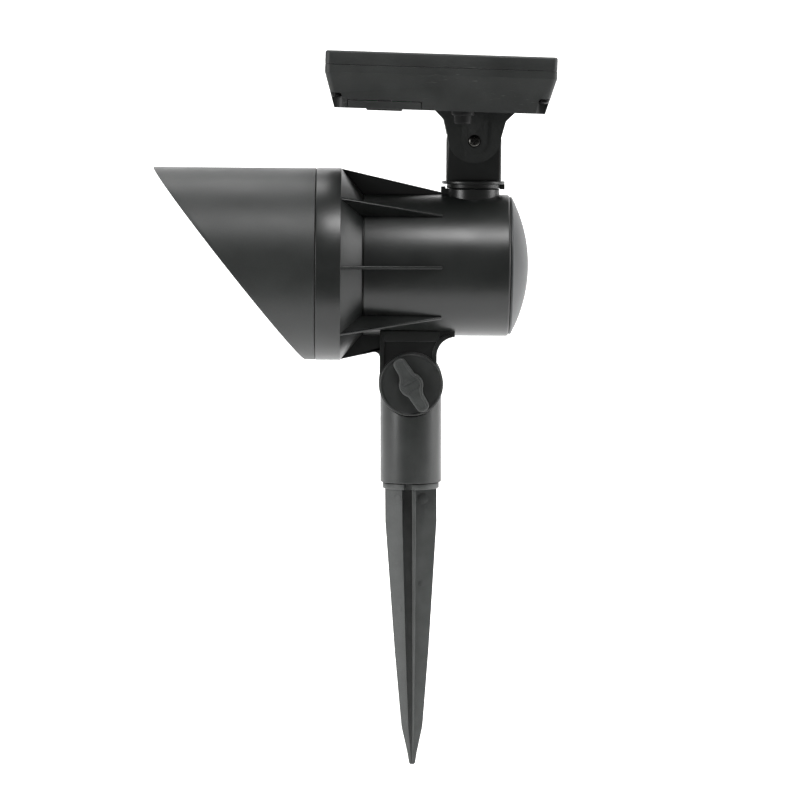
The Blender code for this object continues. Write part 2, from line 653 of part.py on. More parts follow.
def build_hood(joint):
    """Hood: a round tube with a spigot behind, its front cut off on the slant."""
    spigot_radius = BELL_BORE - GAP
    bore = HOOD_RADIUS - HOOD_WALL
    spigot_bore = spigot_radius - SPIGOT_WALL
    root = HOOD_REAR - SPIGOT_ROOT
    profile = [
        (spigot_radius, LENS_FRONT - GAP),
        (spigot_radius, HOOD_REAR),
        (HOOD_RADIUS, HOOD_REAR),
        (HOOD_RADIUS, HOOD_TIP - HOOD_WALL),
        (bore, HOOD_TIP - HOOD_WALL),
        (bore, root - (bore - spigot_bore)),
        (spigot_bore, root),
        (spigot_bore, LENS_FRONT - GAP),
    ]
    hood = turned("hood", profile, (0, 0, LAMP_AXIS_Z), "X")
    reach = 4 * HOOD_RADIUS
    slant = block("tool_hood_slant", (-reach, -HOOD_RADIUS * 2, -reach), (0, HOOD_RADIUS * 2, reach))
    for vertex in slant.data.vertices:
        vertex.co.x -= reach / 2
    slant.location = (HOOD_TIP, 0, LAMP_AXIS_Z + HOOD_RADIUS)
    slant.rotation_euler.y = -math.radians(HOOD_CUT_ANGLE)
    cut(hood, slant)
    place(hood, BLACK_PLASTIC, joint)


def reflector_radius(x):
    """Outer radius of the reflector's bowl, a parabola from its hole to its rim."""
    rim = SHOULDER_RADIUS - GAP
    hole = REFLECTOR_HOLE + REFLECTOR_WALL
    share = (REFLECTOR_BACK - x) / REFLECTOR_DEPTH
    return math.sqrt(hole**2 + share * (rim**2 - hole**2))


def build_optics(joint):
    """Lens, its gasket, reflector, and the light source on its board and carrier."""
    axis = (0, 0, LAMP_AXIS_Z)
    lens_radius = BELL_BORE - GAP
    lens_start = (LENS_FRONT, 0, LAMP_AXIS_Z)
    place(rod("lens", lens_radius, lens_start, LENS_THICKNESS, "X", LARGE_STEPS), CLEAR_PLASTIC, joint)
    gasket = [
        (lens_radius, GASKET_REAR),
        (lens_radius, GASKET_REAR - GASKET_THICKNESS),
        (lens_radius - GASKET_WIDTH, GASKET_REAR - GASKET_THICKNESS),
        (lens_radius - GASKET_WIDTH, GASKET_REAR),
    ]
    place(turned("lens_gasket", gasket, axis, "X"), RUBBER, joint)
    stations = [REFLECTOR_BACK - REFLECTOR_DEPTH * i / ARC_STEPS for i in range(ARC_STEPS + 1)]
    bowl = [(reflector_radius(x), x) for x in stations]
    bowl += [(radius - REFLECTOR_WALL, x) for radius, x in reversed(bowl)]
    place(turned("reflector", bowl, axis, "X", MEDIUM_STEPS), MIRROR_COAT, joint)
    led_low = Vector((LED_BOARD_FRONT - GAP - LED_HEIGHT, -LED_SIZE / 2, LAMP_AXIS_Z - LED_SIZE / 2))
    place(block("led_emitter", led_low, led_low + Vector((LED_HEIGHT, LED_SIZE, LED_SIZE))), LED_YELLOW, joint)
    board_start = (LED_BOARD_FRONT, 0, LAMP_AXIS_Z)
    board = rod("led_board", LED_BOARD_RADIUS, board_start, LED_BOARD_THICKNESS, "X")
    place(board, BOARD_WHITE, joint)
    carrier_start = (CARRIER_FRONT, 0, LAMP_AXIS_Z)
    carrier = rod("led_carrier", BODY_BORE - GAP, carrier_start, CARRIER_THICKNESS, "X", LARGE_STEPS)
    wire_start = (CARRIER_FRONT - CARRIER_THICKNESS, 0, LAMP_AXIS_Z + LED_BOARD_RADIUS * 1.3)
    wire_hole = rod("tool_carrier_hole", 2 * CABLE_RADIUS, wire_start, 3 * CARRIER_THICKNESS, "X", SMALL_STEPS)
    cut(carrier, wire_hole)
    place(carrier, DARK_PLASTIC, joint)


def build_rear_cap(joint):
    """Rear cap: a shallow dome with a rim and a grooved spigot, and the seal ring in its groove."""
    foot = BODY_END + GAP
    rim = foot + CAP_RIM
    sphere = (CAP_RADIUS**2 + CAP_HEIGHT**2) / (2 * CAP_HEIGHT)
    centre = (rim + CAP_HEIGHT - sphere, 0.0)
    edge = math.degrees(math.asin(CAP_RADIUS / sphere))
    spigot_radius = BODY_BORE - GAP
    inner_radius = spigot_radius - CAP_SPIGOT_WALL
    inner_edge = math.degrees(math.asin(inner_radius / (sphere - CAP_WALL)))
    groove = foot - CAP_SPIGOT / 2
    outer = [(y, x) for x, y in arc(centre, sphere, 0, edge, ARC_STEPS)]
    outer[0] = (0.0, outer[0][1])
    inner = [(y, x) for x, y in arc(centre, sphere - CAP_WALL, inner_edge, 0, ARC_STEPS)]
    inner[-1] = (0.0, inner[-1][1])
    profile = [
        *outer,
        (CAP_RADIUS, foot),
        (spigot_radius, foot),
        (spigot_radius, groove + CAP_RING_WIDTH / 2),
        (spigot_radius - CAP_RING_DEPTH, groove + CAP_RING_WIDTH / 2),
        (spigot_radius - CAP_RING_DEPTH, groove - CAP_RING_WIDTH / 2),
        (spigot_radius, groove - CAP_RING_WIDTH / 2),
        (spigot_radius, foot - CAP_SPIGOT),
        (inner_radius, foot - CAP_SPIGOT),
        *inner,
    ]
    axis = (0, 0, LAMP_AXIS_Z)
    place(turned("rear_cap", profile, axis, "X"), BLACK_PLASTIC, joint)
    ring_outer = spigot_radius + GAP / 3
    ring_inner = spigot_radius - CAP_RING_DEPTH + GAP / 2
    half = CAP_RING_WIDTH / 2 - GAP / 2
    ring = [(ring_outer, groove + half), (ring_outer, groove - half), (ring_inner, groove - half)]
    ring.append((ring_inner, groove + half))
    place(turned("cap_seal_ring", ring, axis, "X"), RUBBER, joint)


def build_swivel(joint):
    """Swivel post with its rings, its stop block and its clip, and the cable in its bore."""
    rings = [
        (0.0, FLANGE_TOP + GAP),
        (POST_DEPTH / 2 - GAP, FLANGE_TOP + GAP),
        (POST_DEPTH / 2 - GAP, FLANGE_TOP),
        (FLANGE_RADIUS, FLANGE_TOP),
        (FLANGE_RADIUS, FLANGE_BOTTOM),
        (LOWER_RING_RADIUS, FLANGE_BOTTOM),
        (LOWER_RING_RADIUS, RING_BOTTOM),
        (NECK_SPIGOT, RING_BOTTOM),
        (NECK_SPIGOT, POST_FOOT),
        (0.0, POST_FOOT),
    ]
    post = turned("swivel_post", rings, (SWIVEL_X, 0, 0), steps=MEDIUM_STEPS)
    half = POST_WIDTH / 2
    foot = FLANGE_TOP - FLANGE_HEIGHT / 2 - PANEL_PIVOT_Z
    outline = [(half, foot), *arc((0, 0), half, 0, 180, 2 * ARC_STEPS), (-half, foot)]
    column = plate("tool_post_column", outline, PANEL_PIVOT, POST_DEPTH)
    bevel = column.modifiers.new("edges", "BEVEL")
    bevel.width = POST_CHAMFER
    bevel.segments = 1
    bevel.limit_method = "ANGLE"
    join(post, column)
    stop_outer = SWIVEL_X + STOP_BLOCK_RADIUS
    stop_low = (stop_outer - STOP_THICKNESS, -STOP_WIDTH / 2, RING_BOTTOM)
    stop = block("tool_post_stop", stop_low, (stop_outer, STOP_WIDTH / 2, FLANGE_BOTTOM + FLANGE_HEIGHT / 2))
    join(post, stop)
    bore_start = (SWIVEL_X + CABLE_OFFSET, 0, POST_FOOT - CLIP_HEIGHT)
    bore_length = PANEL_PIVOT_Z + half - POST_FOOT + 2 * CLIP_HEIGHT
    cut(post, rod("tool_post_bore", CABLE_BORE, bore_start, bore_length, steps=SMALL_STEPS))
    pin_start = PANEL_PIVOT - Vector((0, POST_DEPTH, 0))
    cut(post, rod("tool_post_pin_hole", PIN_RADIUS + GAP, pin_start, 2 * POST_DEPTH, "Y", SMALL_STEPS))
    place(post, DARK_PLASTIC, joint)
    clip_bottom = CLIP_TOP - CLIP_HEIGHT
    clip_bore = NECK_SPIGOT + GAP
    clip = [(CLIP_RADIUS, CLIP_TOP), (CLIP_RADIUS, clip_bottom), (clip_bore, clip_bottom), (clip_bore, CLIP_TOP)]
    place(turned("swivel_clip", clip, (SWIVEL_X, 0, 0), steps=MEDIUM_STEPS), ZINC_STEEL, joint)
    cable_length = PANEL_PIVOT_Z + POST_DEPTH / 2 - POST_FOOT
    cable_start = (SWIVEL_X + CABLE_OFFSET, 0, POST_FOOT)
    cable = rod("post_cable", CABLE_RADIUS, cable_start, cable_length, steps=SMALL_STEPS)
    place(cable, RUBBER, joint)


def panel_half(size, height, inset=0.0):
    """Half of the tray's outer size at a height: full in the rim, and less down its slanted sides."""
    slant = PANEL_INSET * max(0.0, PANEL_KNEE - height) / (PANEL_KNEE - PANEL_FLOOR)
    return size / 2 - slant - inset


def rounded_ring(half_x, half_y, radius, height):
    """Points of a rectangle with rounded corners at a height, anticlockwise."""
    points = []
    for quarter, (sx, sy) in enumerate(((1, 1), (-1, 1), (-1, -1), (1, -1))):
        centre = (sx * (half_x - radius), sy * (half_y - radius))
        corner = arc(centre, radius, 90 * quarter, 90 * quarter + 90, CORNER_STEPS)
        points += [(x, y, height) for x, y in corner]
    return points


def tray_shape(name, inset, low, high):
    """The tray's outer form, drawn in by an inset, between two heights above the panel's pivot."""
    heights = [low, PANEL_KNEE, high] if low < PANEL_KNEE else [low, high]
    radius = max(PANEL_CORNER - inset, PANEL_CORNER / 3)
    points = []
    for height in heights:
        half_x = panel_half(PANEL_SIZE, height, inset)
        half_y = panel_half(PANEL_DEPTH, height, inset)
        points += rounded_ring(half_x, half_y, radius, height)
    around = len(points) // len(heights)
    faces = [list(reversed(range(around))), [len(points) - around + i for i in range(around)]]
    for level in range(len(heights) - 1):
        base = level * around
        for i in range(around):
            after = (i + 1) % around
            faces.append([base + i, base + after, base + around + after, base + around + i])
    mesh = bpy.data.meshes.new(name)
    mesh.from_pydata(points, [], faces)
    obj = add_object(name, mesh)
    obj.location = PANEL_PIVOT + Vector((PANEL_CENTRE_X, 0, 0))
    return obj


def panel_point(x, y, height):
    """A point given from the panel's pivot."""
    return PANEL_PIVOT + Vector((x, y, height))


def corner_places():
    """The four corner screws' places, from the panel's pivot."""
    return [(PANEL_CENTRE_X + sx * CORNER_X, sy * CORNER_Y) for sx in (-1, 1) for sy in (-1, 1)]


def ear_tools():
    """Both ears with their raised pads."""
    root_top = PANEL_FLOOR + PANEL_WALL / 2
    side = [(-EAR_ROOT, root_top), (-EAR_ROOT, PANEL_FLOOR), (-EAR_SHOULDER, EAR_SHOULDER_RISE)]
    bottom = arc((0, EAR_CENTRE_RISE), EAR_RADIUS, 180, 360, 2 * ARC_STEPS)
    outline = [*side, *bottom, *[(-x, z) for x, z in reversed(side)]]
    pad = [(-PAD_RADIUS, root_top), *arc((0, 0), PAD_RADIUS, 180, 360), (PAD_RADIUS, root_top)]
    tools = []
    for sign in (-1, 1):
        middle = PANEL_PIVOT + Vector((0, sign * (EAR_INNER + EAR_OUTER) / 2, 0))
        tools.append(plate(f"tool_ear{sign}", outline, middle, EAR_THICKNESS))
        pad_middle = PANEL_PIVOT + Vector((0, sign * (EAR_OUTER + PAD_OUTER - GAP) / 2, 0))
        tools.append(plate(f"tool_pad{sign}", pad, pad_middle, PAD_RISE + GAP))
    return tools


def bay_tools():
    """Walls of the battery bay that stand on the tray's floor."""
    low = PANEL_FLOOR + PANEL_WALL / 2
    high = low + BAY_HEIGHT
    left = DOOR_CENTRE_X - DOOR_WIDTH / 2
    right = DOOR_CENTRE_X + DOOR_WIDTH / 2
    front = DOOR_FRONT + PANEL_WALL / 2
    walls = (
        ((left - BAY_WALL, front), (left, BAY_END + BAY_WALL)),
        ((right, front), (right + BAY_WALL, BAY_END + BAY_WALL)),
        ((left - BAY_WALL / 2, BAY_END), (right + BAY_WALL / 2, BAY_END + BAY_WALL)),
    )
    return [
        block(f"tool_bay_wall_{number}", panel_point(*start, low), panel_point(*end, high))
        for number, (start, end) in enumerate(walls)
    ]


def build_panel_base(joint):
    """Panel tray: walls, floor, corner bosses, battery bay and the two ears of the tilt hinge."""
    tray = tray_shape("panel_base", 0.0, PANEL_FLOOR, PARTING)
    hollow = tray_shape("tool_tray_hollow", PANEL_WALL, PANEL_FLOOR + PANEL_WALL, PARTING + PANEL_WALL)
    boss_top = PARTING - GAP
    for number, (x, y) in enumerate(corner_places()):
        start = panel_point(x, y, 0)
        boss = rod(f"tool_boss_{number}", BOSS_RADIUS, start, boss_top, steps=SMALL_STEPS, phase=BOSS_PHASE)
        cut(hollow, boss)
    cut(tray, hollow)
    join(tray, *bay_tools(), *ear_tools())
    for number, (x, y) in enumerate(corner_places()):
        pocket_height = 2 * POCKET_HEIGHT
        pocket = rod(
            f"tool_pocket_{number}",
            POCKET_RADIUS,
            panel_point(x, y, PANEL_FLOOR - POCKET_HEIGHT),
            pocket_height,
            steps=2 * SMALL_STEPS,
        )
        start = panel_point(x, y, PANEL_FLOOR)
        hole = rod(f"tool_screw_hole_{number}", SCREW_RADIUS + GAP, start, PANEL_HEIGHT, steps=SMALL_STEPS)
        cut(tray, pocket, hole)
    bay_low = panel_point(DOOR_CENTRE_X - DOOR_WIDTH / 2, DOOR_FRONT - PANEL_INSET, PANEL_FLOOR - PANEL_WALL)
    bay_high = panel_point(DOOR_CENTRE_X + DOOR_WIDTH / 2, BAY_END, PANEL_FLOOR + DOOR_LIP + GAP)
    cut(tray, block("tool_door_opening", bay_low, bay_high))
    button_start = panel_point(SWITCH_X, SWITCH_Y, PANEL_FLOOR - PANEL_WALL)
    cut(tray, rod("tool_button_hole", BUTTON_RADIUS + PLAY, button_start, 3 * PANEL_WALL))
    pin_start = panel_point(0, -2 * PAD_OUTER, 0)
    cut(tray, rod("tool_ear_pin_hole", PIN_RADIUS + GAP, pin_start, 4 * PAD_OUTER, "Y", SMALL_STEPS))
    head_start = panel_point(0, -PAD_OUTER - PIN_HEAD_HEIGHT, 0)
    cut(tray, rod("tool_head_recess", PIN_HEAD_RADIUS + GAP, head_start, 2 * PIN_HEAD_HEIGHT - GAP, "Y"))
    nut_start = panel_point(0, PAD_OUTER - PIN_NUT_THICKNESS, 0)
    nut_pocket_radius = hex_radius(PIN_NUT_FLATS) + 2 * GAP
    cut(tray, rod("tool_pin_nut_pocket", nut_pocket_radius, nut_start, PAD_OUTER, "Y", 6))
    cable_start = panel_point(CABLE_OFFSET, 0, PANEL_FLOOR - PANEL_WALL)
    cut(tray, rod("tool_tray_cable_hole", 2 * CABLE_BORE, cable_start, 3 * PANEL_WALL, steps=SMALL_STEPS))
    place(tray, MATTE_PLASTIC, joint)


def build_panel_top(joint):
    """Bezel, solar window and the solar cell under it."""
    bezel = tray_shape("panel_bezel", 0.0, PARTING + GAP, PANEL_TOP)
    hollow = tray_shape("tool_bezel_hollow", PANEL_WALL, PARTING - PANEL_WALL, PANEL_TOP - BEZEL_PLATE)
    cut(bezel, hollow)
    half = WINDOW_SIZE / 2
    opening_low = panel_point(PANEL_CENTRE_X - half, -half, PARTING)
    opening_high = panel_point(PANEL_CENTRE_X + half, half, PANEL_TOP + PANEL_WALL)
    cut(bezel, block("tool_window_opening", opening_low, opening_high))
    for number, (x, y) in enumerate(corner_places()):
        start = panel_point(x, y, PARTING + GAP)
        length = BEZEL_HEIGHT - BEZEL_PLATE
        join(bezel, rod(f"tool_bezel_post_{number}", BEZEL_POST_RADIUS, start, length, steps=SMALL_STEPS))
        hole_start = panel_point(x, y, PARTING - GAP)
        hole = rod(f"tool_post_hole_{number}", SCREW_RADIUS + GAP, hole_start, length, steps=SMALL_STEPS)
        cut(bezel, hole)
    place(bezel, MATTE_PLASTIC, joint)
    half += WINDOW_LAP
    window = block(
        "solar_window",
        panel_point(PANEL_CENTRE_X - half, -half, WINDOW_BOTTOM),
        panel_point(PANEL_CENTRE_X + half, half, WINDOW_TOP),
    )
    place(window, CLEAR_PLASTIC, joint)
    half -= WINDOW_LAP + CELL_MARGIN
    cell_top = WINDOW_BOTTOM - GAP
    cell = block(
        "solar_cell",
        panel_point(PANEL_CENTRE_X - half, -half, cell_top - CELL_THICKNESS),
        panel_point(PANEL_CENTRE_X + half, half, cell_top),
    )
    place(cell, SILICON, joint)


def build_panel_fasteners(joint):
    """Corner screws, and the screw and nut on which the panel tilts."""
    for number, (x, y) in enumerate(corner_places()):
        head_bottom = PANEL_FLOOR + POCKET_HEIGHT - GAP - SCREW_HEAD_HEIGHT
        start = panel_point(x, y, head_bottom)
        screw = rod(f"corner_screw_{number + 1}", SCREW_HEAD_RADIUS, start, SCREW_HEAD_HEIGHT, steps=SMALL_STEPS)
        shank = rod(f"tool_shank_{number}", SCREW_RADIUS, start, SCREW_LENGTH, steps=SMALL_STEPS // 2)
        shank.location.z += SCREW_HEAD_HEIGHT / 2
        join(screw, shank)
        place(screw, ZINC_STEEL, joint)
    head_start = panel_point(0, -PAD_OUTER - GAP, 0)
    pin = rod("pivot_screw", PIN_HEAD_RADIUS, head_start, PIN_HEAD_HEIGHT, "Y")
    shank_length = 2 * PAD_OUTER - GAP
    join(pin, rod("tool_pin_shank", PIN_RADIUS, head_start + Vector((0, GAP, 0)), shank_length, "Y", SMALL_STEPS))
    place(pin, ZINC_STEEL, joint)
    nut_start = panel_point(0, PAD_OUTER - PIN_NUT_THICKNESS + GAP, 0)
    nut("pivot_nut", PIN_NUT_FLATS, PIN_RADIUS + GAP, nut_start, PIN_NUT_THICKNESS - 2 * GAP, joint)


def build_batteries(joint):
    """Two cells that lie side by side, one each way round, and their contacts."""
    for name, side, forward in (("battery_cell_1", -1, 1), ("battery_cell_2", 1, -1)):
        x = DOOR_CENTRE_X + side * (CELL_RADIUS + GAP)
        tip = CELL_END if forward > 0 else CELL_END - CELL_LENGTH
        start = panel_point(x, CELL_END - CELL_LENGTH, CELL_Z)
        cell = rod(name, CELL_RADIUS, start, CELL_LENGTH - CELL_NUB, "Y")
        if forward < 0:
            cell.location.y += CELL_NUB
        nub_start = panel_point(x, tip - (2 * CELL_NUB if forward > 0 else 0), CELL_Z)
        join(cell, rod("tool_" + name, CELL_NUB_RADIUS, nub_start, 2 * CELL_NUB, "Y", SMALL_STEPS))
        place(cell, CELL_SLEEVE, joint)
        tab_y = CELL_END - CELL_LENGTH - GAP - CONTACT_THICKNESS
        low = panel_point(x - CONTACT_HEIGHT / 2, tab_y, CELL_Z - CONTACT_HEIGHT / 2)
        size = Vector((CONTACT_HEIGHT, CONTACT_THICKNESS, CONTACT_HEIGHT))
        place(block(name.replace("cell", "contact"), low, low + size), ZINC_STEEL, joint)
    half = CELL_RADIUS + CONTACT_HEIGHT / 2
    low = panel_point(DOOR_CENTRE_X - half, BAY_END - GAP - CONTACT_THICKNESS, CELL_Z - CONTACT_HEIGHT / 2)
    size = Vector((2 * half, CONTACT_THICKNESS, CONTACT_HEIGHT))
    place(block("battery_link", low, low + size), ZINC_STEEL, joint)


def build_electronics(joint):
    """Charging board and the push switch that hangs under it."""
    left = SWITCH_X - SWITCH_BODY
    front = SWITCH_Y - SWITCH_BODY / 2
    low = panel_point(left, front, BOARD_LEVEL)
    size = Vector((BOARD_LENGTH, BOARD_DEPTH, BOARD_THICKNESS))
    place(block("charge_board", low, low + size), BOARD_GREEN, joint)
    switch_low = panel_point(SWITCH_X - SWITCH_BODY / 2, front, SWITCH_FLOOR)
    body = block("switch_body", switch_low, switch_low + Vector((SWITCH_BODY, SWITCH_BODY, SWITCH_BODY)))
    place(body, DARK_PLASTIC, joint)


def build_button(joint):
    """Rubber button of the push switch, a stepped round cap."""
    top = PANEL_FLOOR + BUTTON_TRAVEL
    shoulder = PANEL_FLOOR - BUTTON_TRAVEL
    tip = PANEL_FLOOR - BUTTON_DROP
    profile = [
        (0.0, top),
        (BUTTON_RADIUS, top),
        (BUTTON_RADIUS, shoulder),
        (BUTTON_TIP_RADIUS + GAP, shoulder - GAP),
        (BUTTON_TIP_RADIUS, tip + GAP),
        (BUTTON_TIP_RADIUS - GAP, tip),
        (0.0, tip),
    ]
    button = turned("switch_button", profile, panel_point(SWITCH_X, SWITCH_Y, 0), steps=MEDIUM_STEPS)
    place(button, RUBBER, joint)


def build_battery_door(joint):
    """Battery door: a slice of the tray's own form, with a lip up the slanted side and a grip."""
    door = tray_shape("battery_door", 0.0, PANEL_FLOOR, PARTING)
    half = DOOR_WIDTH / 2 - GAP
    slice_low = panel_point(DOOR_CENTRE_X - half, DOOR_FRONT - PANEL_INSET, PANEL_FLOOR - PANEL_WALL)
    slice_high = panel_point(DOOR_CENTRE_X + half, BAY_END - GAP, PANEL_FLOOR + DOOR_LIP)
    combine(door, block("tool_door_slice", slice_low, slice_high), "INTERSECT")
    inside_low = panel_point(DOOR_CENTRE_X - 2 * half, DOOR_FRONT + DOOR_THICKNESS, PANEL_FLOOR + DOOR_THICKNESS)
    inside_high = panel_point(DOOR_CENTRE_X + 2 * half, 2 * BAY_END, PANEL_FLOOR + 2 * DOOR_LIP)
    cut(door, block("tool_door_inside", inside_low, inside_high))
    grip_low = panel_point(DOOR_CENTRE_X - GRIP_WIDTH / 2, DOOR_FRONT + DOOR_THICKNESS, PANEL_FLOOR - GRIP_DROP)
    grip = block(
        "tool_door_grip", grip_low, grip_low + Vector((GRIP_WIDTH, GRIP_LENGTH, GRIP_DROP + DOOR_THICKNESS / 2))
    )
    join(door, grip)
    place(door, MATTE_PLASTIC, joint)


def main():
    """Makes the joints' empties, and then each sub-assembly on its joint."""
    lamp_joint = make_joint("lamp_tilt", CLAMP_PIVOT, LAMP_REST_TILT)
    knob_joint = make_joint("knob_turn", CLAMP_PIVOT, KNOB_REST_TURN, lamp_joint)
    swivel_joint = make_joint("panel_swivel", SWIVEL_PIVOT, parent=lamp_joint)
    panel_joint = make_joint("panel_tilt", PANEL_PIVOT, PANEL_REST_TILT, swivel_joint)
    build_stake()
    build_tube()
    build_lamp_body(lamp_joint)
    build_clamp(lamp_joint, knob_joint)
    build_hood(lamp_joint)
    build_optics(lamp_joint)
    build_rear_cap(lamp_joint)
    build_swivel(swivel_joint)
    build_panel_base(panel_joint)
    build_panel_top(panel_joint)
    build_panel_fasteners(panel_joint)
    build_batteries(panel_joint)
    build_electronics(panel_joint)
    build_button(panel_joint)
    build_battery_door(panel_joint)


main()
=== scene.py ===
"""Looks of the solar garden spotlight on a ground stake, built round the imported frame.

Sizes in the dataclasses are in millimetres. Each sub-assembly is drawn upright about its own joint, and a
Seat then tilts it to where the frame holds it at rest. The lamp is drawn from the clamp's axis, and the
panel from the axis on which it tilts.
"""

import json
import logging
import math
from dataclasses import dataclass, field
from enum import Enum

import bmesh
import bpy
import numpy as np
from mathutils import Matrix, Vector

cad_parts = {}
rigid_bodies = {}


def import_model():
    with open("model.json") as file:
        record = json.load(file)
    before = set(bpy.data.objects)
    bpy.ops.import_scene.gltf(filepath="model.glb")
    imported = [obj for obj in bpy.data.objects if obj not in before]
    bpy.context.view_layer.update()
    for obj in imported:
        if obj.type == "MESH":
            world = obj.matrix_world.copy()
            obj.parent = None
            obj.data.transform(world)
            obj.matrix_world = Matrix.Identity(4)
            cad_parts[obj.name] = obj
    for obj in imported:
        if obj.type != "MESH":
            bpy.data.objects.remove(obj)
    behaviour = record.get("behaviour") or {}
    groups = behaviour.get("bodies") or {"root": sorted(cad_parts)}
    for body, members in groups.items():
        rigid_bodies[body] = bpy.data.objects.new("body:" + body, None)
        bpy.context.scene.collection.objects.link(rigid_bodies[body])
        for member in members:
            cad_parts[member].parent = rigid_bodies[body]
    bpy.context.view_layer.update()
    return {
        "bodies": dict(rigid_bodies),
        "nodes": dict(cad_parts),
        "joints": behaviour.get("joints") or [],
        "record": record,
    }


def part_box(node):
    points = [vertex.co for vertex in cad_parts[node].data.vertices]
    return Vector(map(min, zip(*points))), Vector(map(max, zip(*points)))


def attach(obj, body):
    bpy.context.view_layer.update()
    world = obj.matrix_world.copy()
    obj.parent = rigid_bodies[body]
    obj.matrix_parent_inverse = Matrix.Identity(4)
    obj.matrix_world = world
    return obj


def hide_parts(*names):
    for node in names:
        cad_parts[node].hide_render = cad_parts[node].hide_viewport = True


LOG = logging.getLogger("spotlight")
MM = 0.001
GAP = 0.3
TURN_STEPS = 144
SMALL_TURN_STEPS = 64
SMOOTH_ANGLE = math.radians(32)
Pair = tuple[float, float]
Triple = tuple[float, float, float]


# ---------------------------------------------------------------- shapes


def arc(centre: Pair, radius: float, start: float, end: float, steps: int = 16) -> np.ndarray:
    """Points centre + radius * (cos a, sin a), with the angle a going evenly from start to end.

    Args:
        centre: Middle of the arc.
        radius: Radius of the arc.
        start: First angle in degrees.
        end: Last angle in degrees.
        steps: Number of steps between them.

    Returns:
        An array of (steps + 1, 2) points.
    """
    angle = np.radians(np.linspace(start, end, steps + 1))
    return np.stack([centre[0] + radius * np.cos(angle), centre[1] + radius * np.sin(angle)], axis=1)


def filleted(corners: list[tuple[float, float, float]], steps: int = 4) -> np.ndarray:
    """A closed outline whose corners are rounded.

    At each corner an arc of the given radius touches both sides. Its ends lie at radius / tan(half the
    corner's angle) from the corner, cut back where a side is too short.

    Args:
        corners: (a, b, fillet radius) of each corner, in order.
        steps: Number of steps in each arc.

    Returns:
        The outline's points as an array of (n, 2).
    """
    points = np.array([corner[:2] for corner in corners], dtype=float)
    outline = []
    for index, (_, _, radius) in enumerate(corners):
        here = points[index]
        back = points[index - 1] - here
        ahead = points[(index + 1) % len(points)] - here
        back_length, ahead_length = np.linalg.norm(back), np.linalg.norm(ahead)
        back, ahead = back / back_length, ahead / ahead_length
        half = math.acos(float(np.clip(back @ ahead, -1.0, 1.0))) / 2
        if radius <= 0.0 or half > math.radians(89.0):
            outline.append(here[None])
            continue
        reach = min(radius / math.tan(half), 0.48 * back_length, 0.48 * ahead_length)
        radius = reach * math.tan(half)
        middle = here + (back + ahead) / np.linalg.norm(back + ahead) * radius / math.sin(half)
        first, last = here + back * reach - middle, here + ahead * reach - middle
        start = math.atan2(first[1], first[0])
        sweep = (math.atan2(last[1], last[0]) - start + math.pi) % (2 * math.pi) - math.pi
        outline.append(arc(tuple(middle), radius, math.degrees(start), math.degrees(start + sweep), steps))
    return np.concatenate(outline)


def inset(outline: np.ndarray, depth: float) -> np.ndarray:
    """Each point of a closed outline moved inwards, along the mean normal of its two sides.

    The move is depth / cos(half the turn between the sides), so that the sides stay parallel.

    Args:
        outline: Points of (n, 2), anticlockwise.
        depth: How far the sides move in.

    Returns:
        The moved points.
    """
    side = np.roll(outline, -1, axis=0) - outline
    side /= np.maximum(np.linalg.norm(side, axis=1, keepdims=True), 1e-9)
    normal = np.stack([-side[:, 1], side[:, 0]], axis=1)
    mean = normal + np.roll(normal, 1, axis=0)
    mean /= np.maximum((mean**2).sum(axis=1, keepdims=True) / 2, 0.2)
    return outline + mean * depth


def anticlockwise(outline: np.ndarray) -> np.ndarray:
    """The outline, turned round if it runs clockwise by the shoelace sum.

    Args:
        outline: Points of (n, 2).

    Returns:
        The same points, anticlockwise.
    """
    after = np.roll(outline, -1, axis=0)
    area = (outline[:, 0] * after[:, 1] - after[:, 0] * outline[:, 1]).sum()
    return outline if area > 0 else outline[::-1]


@dataclass(frozen=True)
class Axes:
    """Three directions and a middle, in which a shape is drawn as (a, b, c)."""

    origin: Triple = (0.0, 0.0, 0.0)
    across: Triple = (1.0, 0.0, 0.0)
    up: Triple = (0.0, 1.0, 0.0)
    out: Triple = (0.0, 0.0, 1.0)

    def map(self, local: np.ndarray) -> np.ndarray:
        """origin + a * across + b * up + c * out, for points (a, b, c)."""
        return np.asarray(self.origin) + local @ np.array([self.across, self.up, self.out])


@dataclass(frozen=True)
class Seat:
    """Where a sub-assembly stands: its joint's place in metres, and its tilt about +Y in radians."""

    pivot: Triple = (0.0, 0.0, 0.0)
    tilt: float = 0.0

    def put(self, local: np.ndarray) -> np.ndarray:
        """Points in millimetres turned about +Y by the tilt and moved to the pivot, in metres.

        Args:
            local: Points (..., 3) drawn upright from the pivot.

        Returns:
            The points in the frame, where x is x cos t + z sin t and z is z cos t - x sin t.
        """
        cos, sin = math.cos(self.tilt), math.sin(self.tilt)
        turned = np.stack(
            [
                local[..., 0] * cos + local[..., 2] * sin,
                local[..., 1],
                local[..., 2] * cos - local[..., 0] * sin,
            ],
            axis=-1,
        )
        return turned * MM + np.asarray(self.pivot)


def along_x(x: float = 0.0, z: float = 0.0) -> Axes:
    """Axes of a shape turned about a line along +X."""
    return Axes((x, 0.0, z), (0.0, 1.0, 0.0), (0.0, 0.0, 1.0), (1.0, 0.0, 0.0))


def along_y(x: float = 0.0, y: float = 0.0, z: float = 0.0) -> Axes:
    """Axes of a shape drawn in the XZ plane, with its depth along +Y."""
    return Axes((x, y, z), (1.0, 0.0, 0.0), (0.0, 0.0, 1.0), (0.0, 1.0, 0.0))


def along_z(x: float = 0.0, y: float = 0.0, z: float = 0.0) -> Axes:
    """Axes of a shape drawn in the XY plane, with its height along +Z."""
    return Axes((x, y, z))


